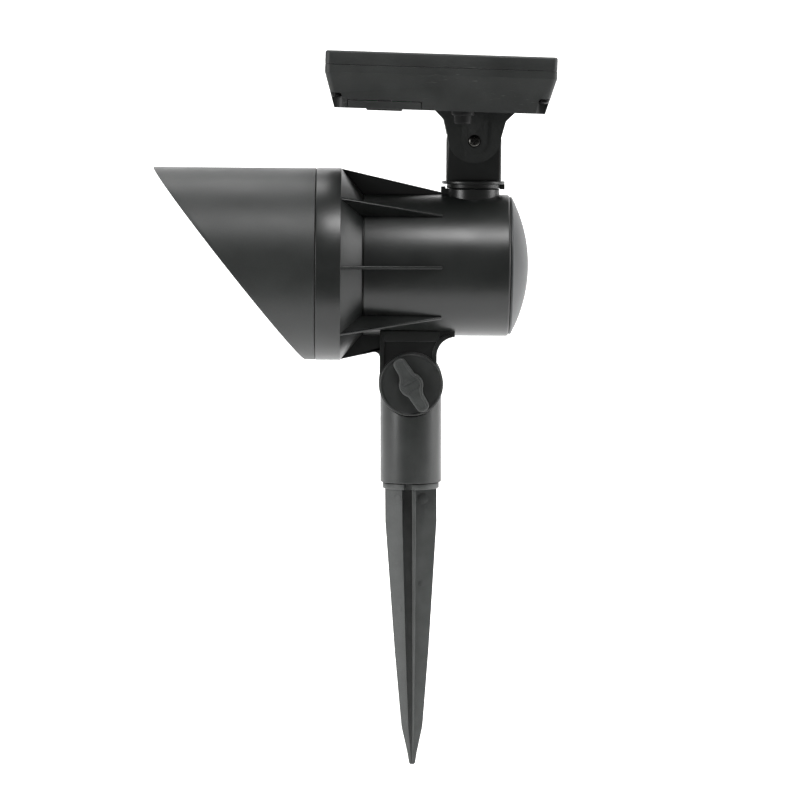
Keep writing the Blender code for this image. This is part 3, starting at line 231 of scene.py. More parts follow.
@dataclass
class Surface:
    """A grid of points with its rows and columns, which becomes one closed mesh."""

    grid: np.ndarray
    rows_close: bool = False
    cap_ends: bool = True

    def faces(self, first: int) -> list[list[int]]:
        """Quads between neighbouring rows and columns, and a flat face over each open end.

        Args:
            first: Number of the grid's first point in the mesh.

        Returns:
            The point numbers of each face.
        """
        rows, columns = self.grid.shape[:2]
        index = first + np.arange(rows * columns).reshape(rows, columns)
        lower = index if self.rows_close else index[:-1]
        upper = np.roll(index, -1, axis=0) if self.rows_close else index[1:]
        quads = np.stack([lower, np.roll(lower, -1, axis=1), np.roll(upper, -1, axis=1), upper], axis=-1)
        faces = quads.reshape(-1, 4).tolist()
        if self.cap_ends and not self.rows_close:
            faces += [index[0][::-1].tolist(), index[-1].tolist()]
        return faces


def turned(profile: np.ndarray, axes: Axes, steps: int = TURN_STEPS) -> Surface:
    """A profile of (radius, height) turned about an axis: (r cos t, r sin t, h) over profile and angle t.

    Args:
        profile: Points of (n, 2). It is closed unless it starts and ends at radius 0.
        axes: The turning axis is their "out" direction.
        steps: Number of columns round the axis.

    Returns:
        The surface.
    """
    angle = np.linspace(0.0, 2 * math.pi, steps, endpoint=False)
    radius, height = profile[:, :1], np.broadcast_to(profile[:, 1:], (len(profile), steps))
    local = np.stack([radius * np.cos(angle), radius * np.sin(angle), height], axis=-1)
    on_axis = profile[0, 0] < 1e-6 and profile[-1, 0] < 1e-6
    return Surface(axes.map(local), rows_close=not on_axis, cap_ends=False)


def ring_at(outline: np.ndarray, level: float) -> np.ndarray:
    """An outline's points as (n, 3), all at one level."""
    return np.column_stack([outline, np.full(len(outline), level)])


def slab(
    outline: np.ndarray, depth: float, edge: float, axes: Axes, draft: float = 0.0, border: Pair = (0.0, 0.0)
) -> Surface:
    """An outline carried through a depth, with both rims rounded to a quarter circle.

    At angle t of a rim's arc the outline is drawn in by edge * (1 - sin t), at edge * (1 - cos t) from
    the face. The draft draws in the far face a little more. A border leaves a rim of its width round
    the far face, which then lies lower by its depth.

    Args:
        outline: Points of (n, 2).
        depth: Thickness along the axes' "out", centred on their origin.
        edge: Radius of the rounded rims.
        axes: Where the slab lies.
        draft: How much the far face is drawn in.
        border: Width of the far face's rim, and how far the face inside it is sunk.

    Returns:
        The surface.
    """
    outline = anticlockwise(outline)
    angle = np.linspace(0.0, math.pi / 2, 4)
    near = [(edge * (1 - math.sin(t)), -depth / 2 + edge * (1 - math.cos(t))) for t in angle]
    far = [(drawn + draft, -level) for drawn, level in reversed(near)]
    if border[0] > 0.0:
        inner = far[-1][0] + border[0]
        far += [(inner, depth / 2), (inner + border[1], depth / 2 - border[1])]
    rows = [ring_at(inset(outline, drawn), level) for drawn, level in [*near, *far]]
    return Surface(axes.map(np.stack(rows)))


def box_outline(half_a: float, half_b: float, radius: float, centre: Pair = (0.0, 0.0)) -> np.ndarray:
    """A rectangle with rounded corners about a centre."""
    signs = ((1, 1), (-1, 1), (-1, -1), (1, -1))
    return filleted([(centre[0] + a * half_a, centre[1] + b * half_b, radius) for a, b in signs], 6)


def swept_frame(profile: np.ndarray, half_a: float, half_b: float, corner: float, axes: Axes) -> Surface:
    """A profile of (inset, height) carried round a rectangle with rounded corners.

    At each profile point the rectangle's halves are drawn in by the inset, and its corner radius is the
    outer one less the inset, but at least a third of it.

    Args:
        profile: Closed profile of (n, 2).
        half_a: Outer half size along "across".
        half_b: Outer half size along "up".
        corner: Outer corner radius.
        axes: Where the frame lies.

    Returns:
        The surface, a ring.
    """
    rows = []
    for drawn, height in profile:
        ring = box_outline(half_a - drawn, half_b - drawn, max(corner - drawn, corner / 3))
        rows.append(ring_at(ring, height))
    return Surface(axes.map(np.stack(rows)), rows_close=True)


# ---------------------------------------------------------------- finishes


def linear(hex_colour: str) -> tuple[float, float, float, float]:
    """A colour such as "2b2b2c" as linear values with alpha 1.

    Args:
        hex_colour: Red, green and blue as two hex digits each, in sRGB.

    Returns:
        Linear red, green, blue, and alpha.
    """
    values = [int(hex_colour[i : i + 2], 16) / 255 for i in (0, 2, 4)]
    made = [v / 12.92 if v <= 0.04045 else ((v + 0.055) / 1.055) ** 2.4 for v in values]
    return (*made, 1.0)


def add_node(
    tree: bpy.types.NodeTree, kind: str, settings: dict | None = None, **links: bpy.types.NodeSocket
) -> bpy.types.Node:
    """Adds a node, sets its properties and values, and links its inputs.

    Args:
        tree: The node tree.
        kind: The node's type name.
        settings: Property names, or input names with their values.
        links: Input names, with _ for a space, and the sockets that feed them.

    Returns:
        The node.
    """
    node = tree.nodes.new(kind)
    for key, value in (settings or {}).items():
        if key in node.inputs:
            node.inputs[key].default_value = value
        else:
            setattr(node, key, value)
    for key, socket in links.items():
        tree.links.new(socket, node.inputs[key.replace("_", " ")])
    return node


class Grain(Enum):
    """How a mould's surface shows on the plastic: size in mm and depth in micrometres."""

    POLISHED = (0.9, 3.0)
    SATIN = (0.38, 15.0)
    BLASTED = (0.3, 24.0)
    SPARKED = (0.45, 42.0)


@dataclass(frozen=True)
class Plastic:
    """Injection moulded plastic: mottled colour, mould grain, and soft changes of gloss."""

    name: str
    dark: str
    light: str
    gloss: Pair
    grain: Grain = Grain.SATIN
    mottle: float = 14.0
    specular: float = 0.5
    scuffs: float = 0.0

    def material(self) -> bpy.types.Material:
        """Moulded plastic, with its grain from fine noise and its flow marks from coarse noise.

        Returns:
            The material.
        """
        material = bpy.data.materials.new(self.name)
        material.use_nodes = True
        tree = material.node_tree
        shader = tree.nodes["Principled BSDF"]
        shader.inputs["Specular IOR Level"].default_value = self.specular
        place = add_node(tree, "ShaderNodeTexCoord").outputs["Object"]
        scale = add_node(tree, "ShaderNodeMapping", {"Scale": (1 / MM,) * 3}, Vector=place).outputs["Vector"]
        coarse = add_node(tree, "ShaderNodeTexNoise", {"Scale": 1 / self.mottle, "Detail": 4.0}, Vector=scale)
        size, depth = self.grain.value
        grain = {"Scale": 1 / size, "Detail": 3.0, "Roughness": 0.6}
        fine = add_node(tree, "ShaderNodeTexNoise", grain, Vector=scale)
        tone = add_node(tree, "ShaderNodeValToRGB", Fac=coarse.outputs["Fac"])
        tone.color_ramp.elements[0].position, tone.color_ramp.elements[1].position = 0.3, 0.7
        tone.color_ramp.elements[0].color = linear(self.dark)
        tone.color_ramp.elements[1].color = linear(self.light)
        speck = add_node(
            tree, "ShaderNodeMapRange", {"From Min": 0.35, "From Max": 0.7, "To Min": 0.88, "To Max": 1.14}
        )
        tree.links.new(fine.outputs["Fac"], speck.inputs["Value"])
        shade = add_node(tree, "ShaderNodeVectorMath", {"operation": "SCALE"})
        tree.links.new(tone.outputs["Color"], shade.inputs[0])
        tree.links.new(speck.outputs["Result"], shade.inputs["Scale"])
        gloss = add_node(
            tree,
            "ShaderNodeMapRange",
            {"From Min": 0.3, "From Max": 0.7, "To Min": self.gloss[0], "To Max": self.gloss[1]},
            Value=coarse.outputs["Fac"],
        )
        colour = shade.outputs["Vector"]
        if self.scuffs > 0.0:
            colour = self.scuffed(tree, scale, colour)
        tree.links.new(colour, shader.inputs["Base Color"])
        tree.links.new(gloss.outputs["Result"], shader.inputs["Roughness"])
        bump = add_node(
            tree, "ShaderNodeBump", {"Distance": depth * MM * MM, "Strength": 1.0}, Height=fine.outputs["Fac"]
        )
        tree.links.new(bump.outputs["Normal"], shader.inputs["Normal"])
        return material

    def scuffed(
        self, tree: bpy.types.NodeTree, scale: bpy.types.NodeSocket, colour: bpy.types.NodeSocket
    ) -> bpy.types.NodeSocket:
        """Light rub marks: thin stretched noise, kept only where a second noise is high.

        Args:
            tree: The node tree.
            scale: Position in millimetres.
            colour: The colour below the marks.

        Returns:
            The socket of the marked colour.
        """
        long = add_node(
            tree, "ShaderNodeMapping", {"Scale": (0.25, 1.0, 2.4), "Rotation": (0.2, 0.3, 0.0)}, Vector=scale
        )
        stretched = long.outputs["Vector"]
        mark = add_node(tree, "ShaderNodeTexNoise", {"Scale": 0.9, "Detail": 5.0}, Vector=stretched)
        patch = add_node(tree, "ShaderNodeTexNoise", {"Scale": 0.05, "Detail": 1.0}, Vector=scale)
        thin = add_node(tree, "ShaderNodeMapRange", {"From Min": 0.64, "From Max": 0.74})
        where = add_node(tree, "ShaderNodeMapRange", {"From Min": 0.5, "From Max": 0.62})
        tree.links.new(mark.outputs["Fac"], thin.inputs["Value"])
        tree.links.new(patch.outputs["Fac"], where.inputs["Value"])
        both = add_node(tree, "ShaderNodeMath", {"operation": "MULTIPLY"})
        tree.links.new(thin.outputs["Result"], both.inputs[0])
        tree.links.new(where.outputs["Result"], both.inputs[1])
        amount = add_node(tree, "ShaderNodeMath", {"operation": "MULTIPLY"})
        amount.inputs[1].default_value = self.scuffs
        tree.links.new(both.outputs[0], amount.inputs[0])
        mix = add_node(tree, "ShaderNodeMix", {"data_type": "RGBA"})
        tree.links.new(amount.outputs[0], mix.inputs["Factor"])
        tree.links.new(colour, mix.inputs[6])
        mix.inputs[7].default_value = linear("8a8a88")
        return mix.outputs[2]


@dataclass(frozen=True)
class Metal:
    """Plated steel or a metallised surface, with fine scratches along one direction."""

    name: str
    colour: str
    gloss: Pair
    scratch: Triple = (6.0, 0.5, 6.0)

    def material(self) -> bpy.types.Material:
        """Metal whose gloss follows stretched noise.

        Returns:
            The material.
        """
        material = bpy.data.materials.new(self.name)
        material.use_nodes = True
        tree = material.node_tree
        shader = tree.nodes["Principled BSDF"]
        shader.inputs["Metallic"].default_value = 1.0
        place = add_node(tree, "ShaderNodeTexCoord").outputs["Object"]
        scale = add_node(
            tree, "ShaderNodeMapping", {"Scale": tuple(s / MM for s in self.scratch)}, Vector=place
        ).outputs["Vector"]
        noise = add_node(tree, "ShaderNodeTexNoise", {"Scale": 1.0, "Detail": 3.0}, Vector=scale)
        tone = add_node(tree, "ShaderNodeValToRGB", Fac=noise.outputs["Fac"])
        bright = linear(self.colour)
        tone.color_ramp.elements[0].color = (*(0.72 * c for c in bright[:3]), 1.0)
        tone.color_ramp.elements[1].color = bright
        span = {"To Min": self.gloss[0], "To Max": self.gloss[1]}
        gloss = add_node(tree, "ShaderNodeMapRange", span, Value=noise.outputs["Fac"])
        bump = add_node(tree, "ShaderNodeBump", {"Distance": 4 * MM * MM}, Height=noise.outputs["Fac"])
        tree.links.new(tone.outputs["Color"], shader.inputs["Base Color"])
        tree.links.new(gloss.outputs["Result"], shader.inputs["Roughness"])
        tree.links.new(bump.outputs["Normal"], shader.inputs["Normal"])
        return material


@dataclass(frozen=True)
class Clear:
    """Clear moulded polycarbonate with a faint haze."""

    name: str
    tint: str = "f4f7f8"
    ior: float = 1.58

    def material(self) -> bpy.types.Material:
        """Clear plastic, whose haze follows coarse noise.

        Returns:
            The material.
        """
        material = bpy.data.materials.new(self.name)
        material.use_nodes = True
        tree = material.node_tree
        shader = tree.nodes["Principled BSDF"]
        shader.inputs["Transmission Weight"].default_value = 1.0
        shader.inputs["IOR"].default_value = self.ior
        shader.inputs["Base Color"].default_value = linear(self.tint)
        place = add_node(tree, "ShaderNodeTexCoord").outputs["Object"]
        noise = add_node(tree, "ShaderNodeTexNoise", {"Scale": 60.0, "Detail": 4.0}, Vector=place)
        span = {"To Min": 0.01, "To Max": 0.09}
        haze = add_node(tree, "ShaderNodeMapRange", span, Value=noise.outputs["Fac"])
        tree.links.new(haze.outputs["Result"], shader.inputs["Roughness"])
        return material


@dataclass(frozen=True)
class SolarSilicon:
    """Crystalline cell: blue black wafers with thin silver fingers, wide busbars and gaps between cells."""

    name: str
    tilt: float
    centre: Triple
    finger_pitch: float = 1.9
    finger_width: float = 0.14
    cell_pitch: float = 19.2
    cell_gap: float = 0.9
    bus_width: float = 1.1

    def stripe(
        self, tree: bpy.types.NodeTree, along: bpy.types.NodeSocket, pitch: float, width: float, shift: float
    ) -> bpy.types.NodeSocket:
        """1 inside a band of the width, repeated at the pitch, and 0 outside it.

        Args:
            tree: The node tree.
            along: Position in millimetres across the bands.
            pitch: Distance from band to band.
            width: Width of a band.
            shift: Where the first band lies.

        Returns:
            The socket of the 0 or 1 value.
        """
        moved = add_node(tree, "ShaderNodeMath", {"operation": "ADD"})
        moved.inputs[1].default_value = shift
        tree.links.new(along, moved.inputs[0])
        wrapped = add_node(tree, "ShaderNodeMath", {"operation": "PINGPONG"})
        wrapped.inputs[1].default_value = pitch / 2
        tree.links.new(moved.outputs[0], wrapped.inputs[0])
        band = add_node(tree, "ShaderNodeMath", {"operation": "LESS_THAN"})
        band.inputs[1].default_value = width / 2
        tree.links.new(wrapped.outputs[0], band.inputs[0])
        return band.outputs[0]

    def material(self) -> bpy.types.Material:
        """Silicon with its printed silver grid, laid out square to the panel.

        Returns:
            The material.
        """
        material = bpy.data.materials.new(self.name)
        material.use_nodes = True
        tree = material.node_tree
        shader = tree.nodes["Principled BSDF"]
        place = add_node(tree, "ShaderNodeTexCoord").outputs["Object"]
        square = {
            "vector_type": "TEXTURE",
            "Location": self.centre,
            "Rotation": (0.0, self.tilt, 0.0),
            "Scale": (MM,) * 3,
        }
        level = add_node(tree, "ShaderNodeMapping", square, Vector=place)
        split = add_node(tree, "ShaderNodeSeparateXYZ", Vector=level.outputs["Vector"])
        across, along = split.outputs["X"], split.outputs["Y"]
        noise = add_node(
            tree, "ShaderNodeTexVoronoi", {"Scale": 0.16, "Randomness": 1.0}, Vector=level.outputs["Vector"]
        )
        wafer = add_node(tree, "ShaderNodeMix", {"data_type": "RGBA"})
        tree.links.new(noise.outputs["Distance"], wafer.inputs["Factor"])
        wafer.inputs[6].default_value = linear("0e1526")
        wafer.inputs[7].default_value = linear("1a2540")
        fingers = self.stripe(tree, across, self.finger_pitch, self.finger_width, 0.0)
        bus = self.stripe(tree, along, self.cell_pitch * 2, self.bus_width, self.cell_pitch)
        silver = add_node(tree, "ShaderNodeMath", {"operation": "MAXIMUM"})
        tree.links.new(fingers, silver.inputs[0])
        tree.links.new(bus, silver.inputs[1])
        printed = add_node(tree, "ShaderNodeMix", {"data_type": "RGBA"})
        tree.links.new(silver.outputs[0], printed.inputs["Factor"])
        tree.links.new(wafer.outputs[2], printed.inputs[6])
        printed.inputs[7].default_value = linear("9aa0a6")
        gap = self.stripe(tree, across, self.cell_pitch, self.cell_gap, 0.0)
        split_cells = add_node(tree, "ShaderNodeMix", {"data_type": "RGBA"})
        tree.links.new(gap, split_cells.inputs["Factor"])
        tree.links.new(printed.outputs[2], split_cells.inputs[6])
        split_cells.inputs[7].default_value = linear("08090b")
        tree.links.new(split_cells.outputs[2], shader.inputs["Base Color"])
        shader.inputs["Roughness"].default_value = 0.3
        return material


@dataclass
class Finishes:
    """Every finish of the light, made once and shared."""

    panel_seat: Seat
    cell_centre: Triple
    made: dict[str, bpy.types.Material] = field(default_factory=dict)

    def __post_init__(self) -> None:
        """Makes each finish's material."""
        kinds = [
            # ASA, injection moulded in a satin cavity
            Plastic("hood_satin_moulding", "232524", "2b2d2c", (0.40, 0.50), Grain.SATIN, 22.0),
            # ABS, injection moulded, with a smoother satin for the lamp's housing
            Plastic("housing_satin_moulding", "141615", "1b1d1c", (0.30, 0.38), Grain.SATIN, 18.0),
            # ABS, injection moulded; its grey, lighter than the housing's, is painted light standing in for
            # the sheen the dome catches from the side
            Plastic("cap_painted_sheen_moulding", "2b2d2e", "323435", (0.40, 0.48), Grain.SATIN, 20.0),
            # Polypropylene, injection moulded
            Plastic("tube_satin_moulding", "232524", "2b2d2c", (0.34, 0.42), Grain.SATIN, 9.0),
            # Polypropylene, injection moulded in a blasted cavity, rubbed in use
            Plastic("stake_matt_moulding", "373938", "424443", (0.44, 0.54), Grain.BLASTED, 7.0, 0.5, 0.12),
            # ABS, injection moulded in a spark eroded cavity, rubbed in use
            Plastic(
                "panel_textured_moulding", "1f2120", "292b2a", (0.44, 0.56), Grain.SPARKED, 16.0, 0.5, 0.22
            ),
            # Nylon, injection moulded
            Plastic("post_satin_moulding", "101211", "181a19", (0.32, 0.40), Grain.SATIN, 8.0),
            # Nylon, injection moulded in a blasted cavity: the knob's disc, and its wing, whose lighter copy
            # of the disc's finish is a painted highlight on the raised wing
            Plastic("knob_matt_moulding", "161817", "1e201f", (0.44, 0.54), Grain.BLASTED, 6.0),
            Plastic("wing_painted_highlight_moulding", "303231", "3a3c3b", (0.42, 0.52), Grain.BLASTED, 3.0),
            # Steel screws, plated with black nickel or blackened in hot oxide
            Metal("black_nickelled_steel", "4a4947", (0.18, 0.34)),
            Metal("black_oxide_steel", "242424", (0.3, 0.5)),
            # Silicone rubber, compression moulded
            Plastic("black_rubber", "131414", "191a1a", (0.6, 0.75), Grain.BLASTED, 5.0, 0.3),
            # Glass filled nylon, injection moulded
            Plastic("black_carrier_moulding", "151616", "1b1c1c", (0.4, 0.5), Grain.SATIN, 8.0),
            # Screen printed solder mask on aluminium and on glass epoxy
            Plastic("white_solder_mask", "dcdcd6", "e6e6e0", (0.35, 0.45), Grain.POLISHED, 6.0),
            Plastic("green_solder_mask", "123f22", "185029", (0.3, 0.4), Grain.POLISHED, 5.0),
            # Silicone with phosphor powder, dispensed over the light chip
            Plastic("phosphor_resin", "d8a92a", "e2b83c", (0.3, 0.4), Grain.POLISHED, 2.0),
            # PVC sleeve, shrunk on the cell
            Plastic("cell_shrink_sleeve", "1d5a36", "236a40", (0.25, 0.35), Grain.POLISHED, 8.0),
            # Steel, zinc plated
            Metal("zinc_plated_steel", "c9c7bf", (0.2, 0.4)),
            # Polycarbonate with aluminium evaporated on it
            Metal("metallised_reflector", "eef0f2", (0.05, 0.12), (0.3, 0.3, 0.3)),
            # Polycarbonate, injection moulded in a polished cavity
            Clear("clear_polycarbonate"),
            # Crystalline silicon with screen printed silver
            SolarSilicon("silicon_cell", self.panel_seat.tilt, self.cell_centre),
        ]
        self.made = {kind.name: kind.material() for kind in kinds}

    def dress(self, piece: bpy.types.Object, name: str) -> None:
        """Gives the piece this finish in place of any it has."""
        piece.data.materials.clear()
        piece.data.materials.append(self.made[name])


# ---------------------------------------------------------------- pieces


def placed(name: str, data: bpy.types.ID) -> bpy.types.Object:
    """A new object that holds a mesh, light or camera, linked to the scene.

    Args:
        name: The object's name.
        data: What it holds.

    Returns:
        The object, at the origin.
    """
    made = bpy.data.objects.new(name, data)
    bpy.context.scene.collection.objects.link(made)
    return made


@dataclass
class Workshop:
    """Turns surfaces into pieces that ride on the frame."""

    finishes: Finishes

    def mesh(self, name: str, surfaces: list[Surface], seat: Seat) -> bpy.types.Object:
        """One object of closed surfaces, merged at their poles, with its faces outwards.

        Args:
            name: The piece's name.
            surfaces: Its closed surfaces.
            seat: Where they stand.

        Returns:
            The object, at the origin, with its place in its mesh.
        """
        points, faces, count = [], [], 0
        for surface in surfaces:
            points.append(seat.put(surface.grid).reshape(-1, 3))
            faces += surface.faces(count)
            count += len(points[-1])
        mesh = bpy.data.meshes.new(name)
        mesh.from_pydata(np.concatenate(points).tolist(), [], faces)
        bm = bmesh.new()
        bm.from_mesh(mesh)
        bmesh.ops.remove_doubles(bm, verts=bm.verts, dist=2e-6)
        bmesh.ops.dissolve_degenerate(bm, edges=bm.edges, dist=1e-6)
        bmesh.ops.recalc_face_normals(bm, faces=bm.faces)
        bm.to_mesh(mesh)
        bm.free()
        piece = placed(name, mesh)
        self.smooth(piece)
        return piece

    def smooth(self, piece: bpy.types.Object) -> None:
        """Smooth shading, with sharp edges where faces turn more than the set angle."""
        piece.data.shade_smooth()
        piece.data.set_sharp_from_angle(angle=SMOOTH_ANGLE)

    def merged_copy(self, name: str, node: bpy.types.Object, edge: float) -> bpy.types.Object:
        """A copy of a CAD node's solid with its flat faces made whole and its edges rounded.

        Args:
            name: The piece's name.
            node: The CAD node's object.
            edge: Radius of the rounded edges in millimetres.

        Returns:
            The copy.
        """
        mesh = node.data.copy()
        mesh.name = name
        bm = bmesh.new()
        bm.from_mesh(mesh)
        bmesh.ops.remove_doubles(bm, verts=bm.verts, dist=2e-6)
        bmesh.ops.dissolve_limit(bm, angle_limit=math.radians(0.6), verts=bm.verts, edges=bm.edges)
        bm.to_mesh(mesh)
        bm.free()
        piece = placed(name, mesh)
        self.smooth(piece)
        self.round_edges(piece, edge, True)
        return piece

    def round_edges(self, piece: bpy.types.Object, edge: float, flat_faces: bool) -> None:
        """Rounds a piece's sharp edges.

        Args:
            piece: The piece.
            edge: Radius of the rounding in millimetres.
            flat_faces: Whether the faces beside it keep their own flat shading.
        """
        bevel = piece.modifiers.new("rounded_edges", "BEVEL")
        bevel.width = edge * MM
        bevel.segments = 2
        bevel.limit_method = "ANGLE"
        bevel.angle_limit = SMOOTH_ANGLE
        bevel.use_clamp_overlap = True
        bevel.harden_normals = flat_faces

    def bored(self, piece: bpy.types.Object, bores: list[Surface], seat: Seat) -> None:
        """Cuts bores out of a piece for good, and keeps its smooth shading.

        Args:
            piece: The piece to cut.
            bores: Closed surfaces of what is cut away.
            seat: Where they stand.
        """
        cutter = self.mesh(piece.name + "_bores", bores, seat)
        cut = piece.modifiers.new("bores", "BOOLEAN")
        cut.object = cutter
        cut.operation = "DIFFERENCE"
        graph = bpy.context.evaluated_depsgraph_get()
        made = bpy.data.meshes.new_from_object(piece.evaluated_get(graph))
        piece.modifiers.clear()
        piece.data = made
        bpy.data.objects.remove(cutter)
        self.smooth(piece)

    def finish(self, piece: bpy.types.Object, look: str, body: str, nodes: list[str], slot: str) -> None:
        """Dresses a piece, seats it on its body and hides the CAD nodes that it stands for.

        Args:
            piece: The piece.
            look: Name of its finish.
            body: Name of the body that it rides on.
            nodes: Names of the CAD nodes that it replaces.
            slot: Name of its slot; not used.
        """
        self.finishes.dress(piece, look)
        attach(piece, body)
        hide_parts(*nodes)
        LOG.info("%s rides on %s in %s", piece.name, body, look)


@dataclass
class StakeBase:
    """Ground stake and the tube on it.

    The channel's edges, the near arm's width, the wedge's crest and its heel are shares of the half width.
    Each ejector pin's mark is given by its place across, its level and its radius.
    """

    shop: Workshop
    blade_thickness: float = 1.9
    stations: tuple[Pair, ...] = (
        (-0.3, 11.1),
        (-14.2, 11.1),
        (-69.8, 7.4),
        (-103.5, 4.6),
        (-107.3, 3.8),
        (-115.1, 2.1),
        (-119.7, 1.35),
    )
    tip: Pair = (-120.4, 0.8)
    lean: float = 0.005
    channel: Pair = (-0.32, 0.045)
    near_arm: float = 0.13
    crest: float = 0.66
    heel: float = 0.12
    ejector_pins: tuple[Triple, ...] = (
        (-5.9, -4.4, 2.1),
        (5.2, -4.6, 2.3),
        (-5.2, -52.0, 1.3),
        (4.4, -41.5, 1.3),
    )
    collar_radius: float = 12.15
    collar_height: float = 2.5
    keyway_angle: float = -96.4
    keyway_half: float = 1.6
    keyway_depth: float = 1.9
    plug_radius: float = 10.2
    plug_top: float = 26.4
    tube_radius: float = 13.15
    tube_foot: float = 2.8
    clamp_height: float = 45.6
    pocket_radius: float = 14.1
    tongue_half: float = 7.3
    tongue_radius: float = 13.0
    bolt_hole: float = 2.8

    def half_at(self, level: float | np.ndarray) -> np.ndarray:
        """Half width of the blades at a level, read between the stations and the tip."""
        heights, halves = np.array([*self.stations, self.tip]).T
        return np.interp(-level, -heights, halves)

    def cross(self, half: float, thickness: float) -> np.ndarray:
        """A section through the stake: flat right and back arms, a thin near arm, and a wedge for a left arm.

        The wedge's face leans toward the near arm, so the two leave a deep channel between them.

        Args:
            half: Half width of the section.
            thickness: Thickness of the flat arms.

        Returns:
            Points of (n, 2).
        """
        edge = thickness / 2
        left, right = self.channel[0] * half, self.channel[1] * half
        ridge = right + self.near_arm * half
        crest = -max(self.crest * half, edge + 0.15)
        near = -max(half, edge + 0.2)
        heel = -edge - self.heel * half
        flat_arms = [(half, -edge), (half, edge), (edge, edge), (edge, half), (-edge, half), (-edge, edge)]
        wedge = [(-half, edge), (-half, heel), (left, crest), (left, -edge)]
        near_arm = [(right, -edge), (right, near), (ridge, near), (ridge, -edge)]
        return filleted([(x, y, min(0.25, 0.03 * half)) for x, y in flat_arms + wedge + near_arm], 3)

    def blades(self) -> Surface:
        """The section carried down the stake: its half width falls along it, and its arms thin out.

        Returns:
            The surface.
        """
        shoulder, end = self.stations[1][0], self.stations[-1][0]
        upper, lower = np.linspace(self.stations[0][0], shoulder, 4), np.linspace(-17.0, end, 46)
        levels = np.concatenate([upper, lower, [self.tip[0]]])
        rows = []
        for level, width in zip(levels, self.half_at(levels)):
            thickness = min(self.blade_thickness * (1.0 + 0.0012 * level), 1.7 * width)
            outline = self.cross(float(width), float(thickness)) - (self.lean * level, 0.0)
            rows.append(ring_at(outline, level))
        return Surface(np.stack(rows))

    def collar(self) -> Surface:
        """Collar with its keyway: the radius falls by the keyway's depth within its half width.

        Returns:
            The surface.
        """
        outer, top = self.collar_radius, self.collar_height
        profile = filleted([(0.0, 0.0, 0.0), (outer, 0.0, 0.35), (outer, top, 0.35), (0.0, top, 0.0)], 3)
        angle = np.linspace(0, 2 * math.pi, 4 * TURN_STEPS, endpoint=False)
        away = (angle - math.radians(self.keyway_angle) + math.pi) % (2 * math.pi) - math.pi
        across = np.abs(away) * self.collar_radius
        notch = self.keyway_depth * np.clip((self.keyway_half + 0.15 - across) / 0.3, 0.0, 1.0)
        radius = np.minimum(profile[:, :1], self.collar_radius - notch[None, :])
        radius = np.where(profile[:, :1] > 0.0, radius, 0.0)
        height = np.broadcast_to(profile[:, 1:], radius.shape)
        grid = np.stack([radius * np.cos(angle), radius * np.sin(angle), height], axis=-1)
        return Surface(grid, cap_ends=False)

    def plug(self) -> Surface:
        """The round plug inside the tube.

        Returns:
            The surface.
        """
        radius, bottom, top = self.plug_radius, self.collar_height - 0.2, self.plug_top
        corners = [(0.0, bottom, 0.0), (radius, bottom, 0.0), (radius, top, 0.8), (0.0, top, 0.0)]
        return turned(filleted(corners, 3), along_z())

    def ejector_marks(self) -> list[Surface]:
        """Low round marks that the mould's ejector pins leave on the wedge's face and the right arm.

        Returns:
            The marks, each a low disc that stands on its face.
        """
        marks = []
        edge = self.blade_thickness / 2
        for across, level, radius in self.ejector_pins:
            half = float(self.half_at(level))
            slope, depth = 0.0, -edge
            if across < 0:
                outer, inner = (-half, -edge - self.heel * half), (self.channel[0] * half, -self.crest * half)
                slope = (inner[1] - outer[1]) / (inner[0] - outer[0])
                depth = outer[1] + slope * (across - outer[0])
            out = np.array([1.0, slope, 0.0]) / math.hypot(1.0, slope)
            normal = (float(out[1]), -float(out[0]), 0.0)
            middle = (across - self.lean * level, depth, level)
            axes = Axes(middle, tuple(out.tolist()), (0.0, 0.0, 1.0), normal)
            profile = filleted([(0, -0.2, 0), (radius, -0.2, 0), (radius, 0.1, 0.08), (0, 0.1, 0)], 2)
            marks.append(turned(profile, axes, SMALL_TURN_STEPS))
        return marks

    def build(self) -> None:
        """Makes the stake and the tube."""
        shapes = [self.blades(), self.collar(), self.plug(), *self.ejector_marks()]
        stake = self.shop.mesh("stake_moulding", shapes, Seat())
        self.shop.finish(stake, "stake_matt_moulding", "stake_base", ["stake"], "stake_plastic")
        self.build_tube()

    def build_tube(self) -> None:
        """Tube turned about the stake's axis, then narrowed by two round pockets to the clamp's tongue."""
        radius, foot, clamp = self.tube_radius, self.tube_foot, self.clamp_height
        top = clamp + self.tongue_radius
        socket = self.plug_radius + GAP
        profile = filleted(
            [
                (0.0, self.plug_top + 1.0, 0.0),
                (socket, self.plug_top + 1.0, 0.5),
                (socket, foot, 0.2),
                (radius, foot, 0.35),
                (radius, top + 2.0, 0.0),
                (0.0, top + 2.0, 0.0),
            ]
        )
        tube = self.shop.mesh("tube_moulding", [turned(profile, along_z())], Seat())
        pocket = self.pocket_radius
        beside = np.concatenate([arc((0, 0), pocket, 180, 360, 64), [[pocket, 26.0], [-pocket, 26.0]]])
        beyond = [[22.0, 0.0], [22.0, 22.0], [-22.0, 22.0], [-22.0, 0.0]]
        crown = np.concatenate([arc((0, 0), self.tongue_radius, 180, 0, 64), beyond])
        bolt = arc((0, 0), self.bolt_hole, 0, 360, 40)[:-1]
        aside = self.tongue_half + 10.0
        bores = [slab(beside, 20.0, 0.0, along_y(0.0, side * aside, clamp)) for side in (-1, 1)]
        bores += [slab(crown, 30.0, 0.0, along_y(0, 0, clamp)), slab(bolt, 30.0, 0.0, along_y(0, 0, clamp))]
        for bore in bores:
            self.shop.bored(tube, [bore], Seat())
        self.shop.round_edges(tube, 0.35, False)
        self.shop.finish(tube, "tube_satin_moulding", "stake_base", ["tube"], "tube_plastic")


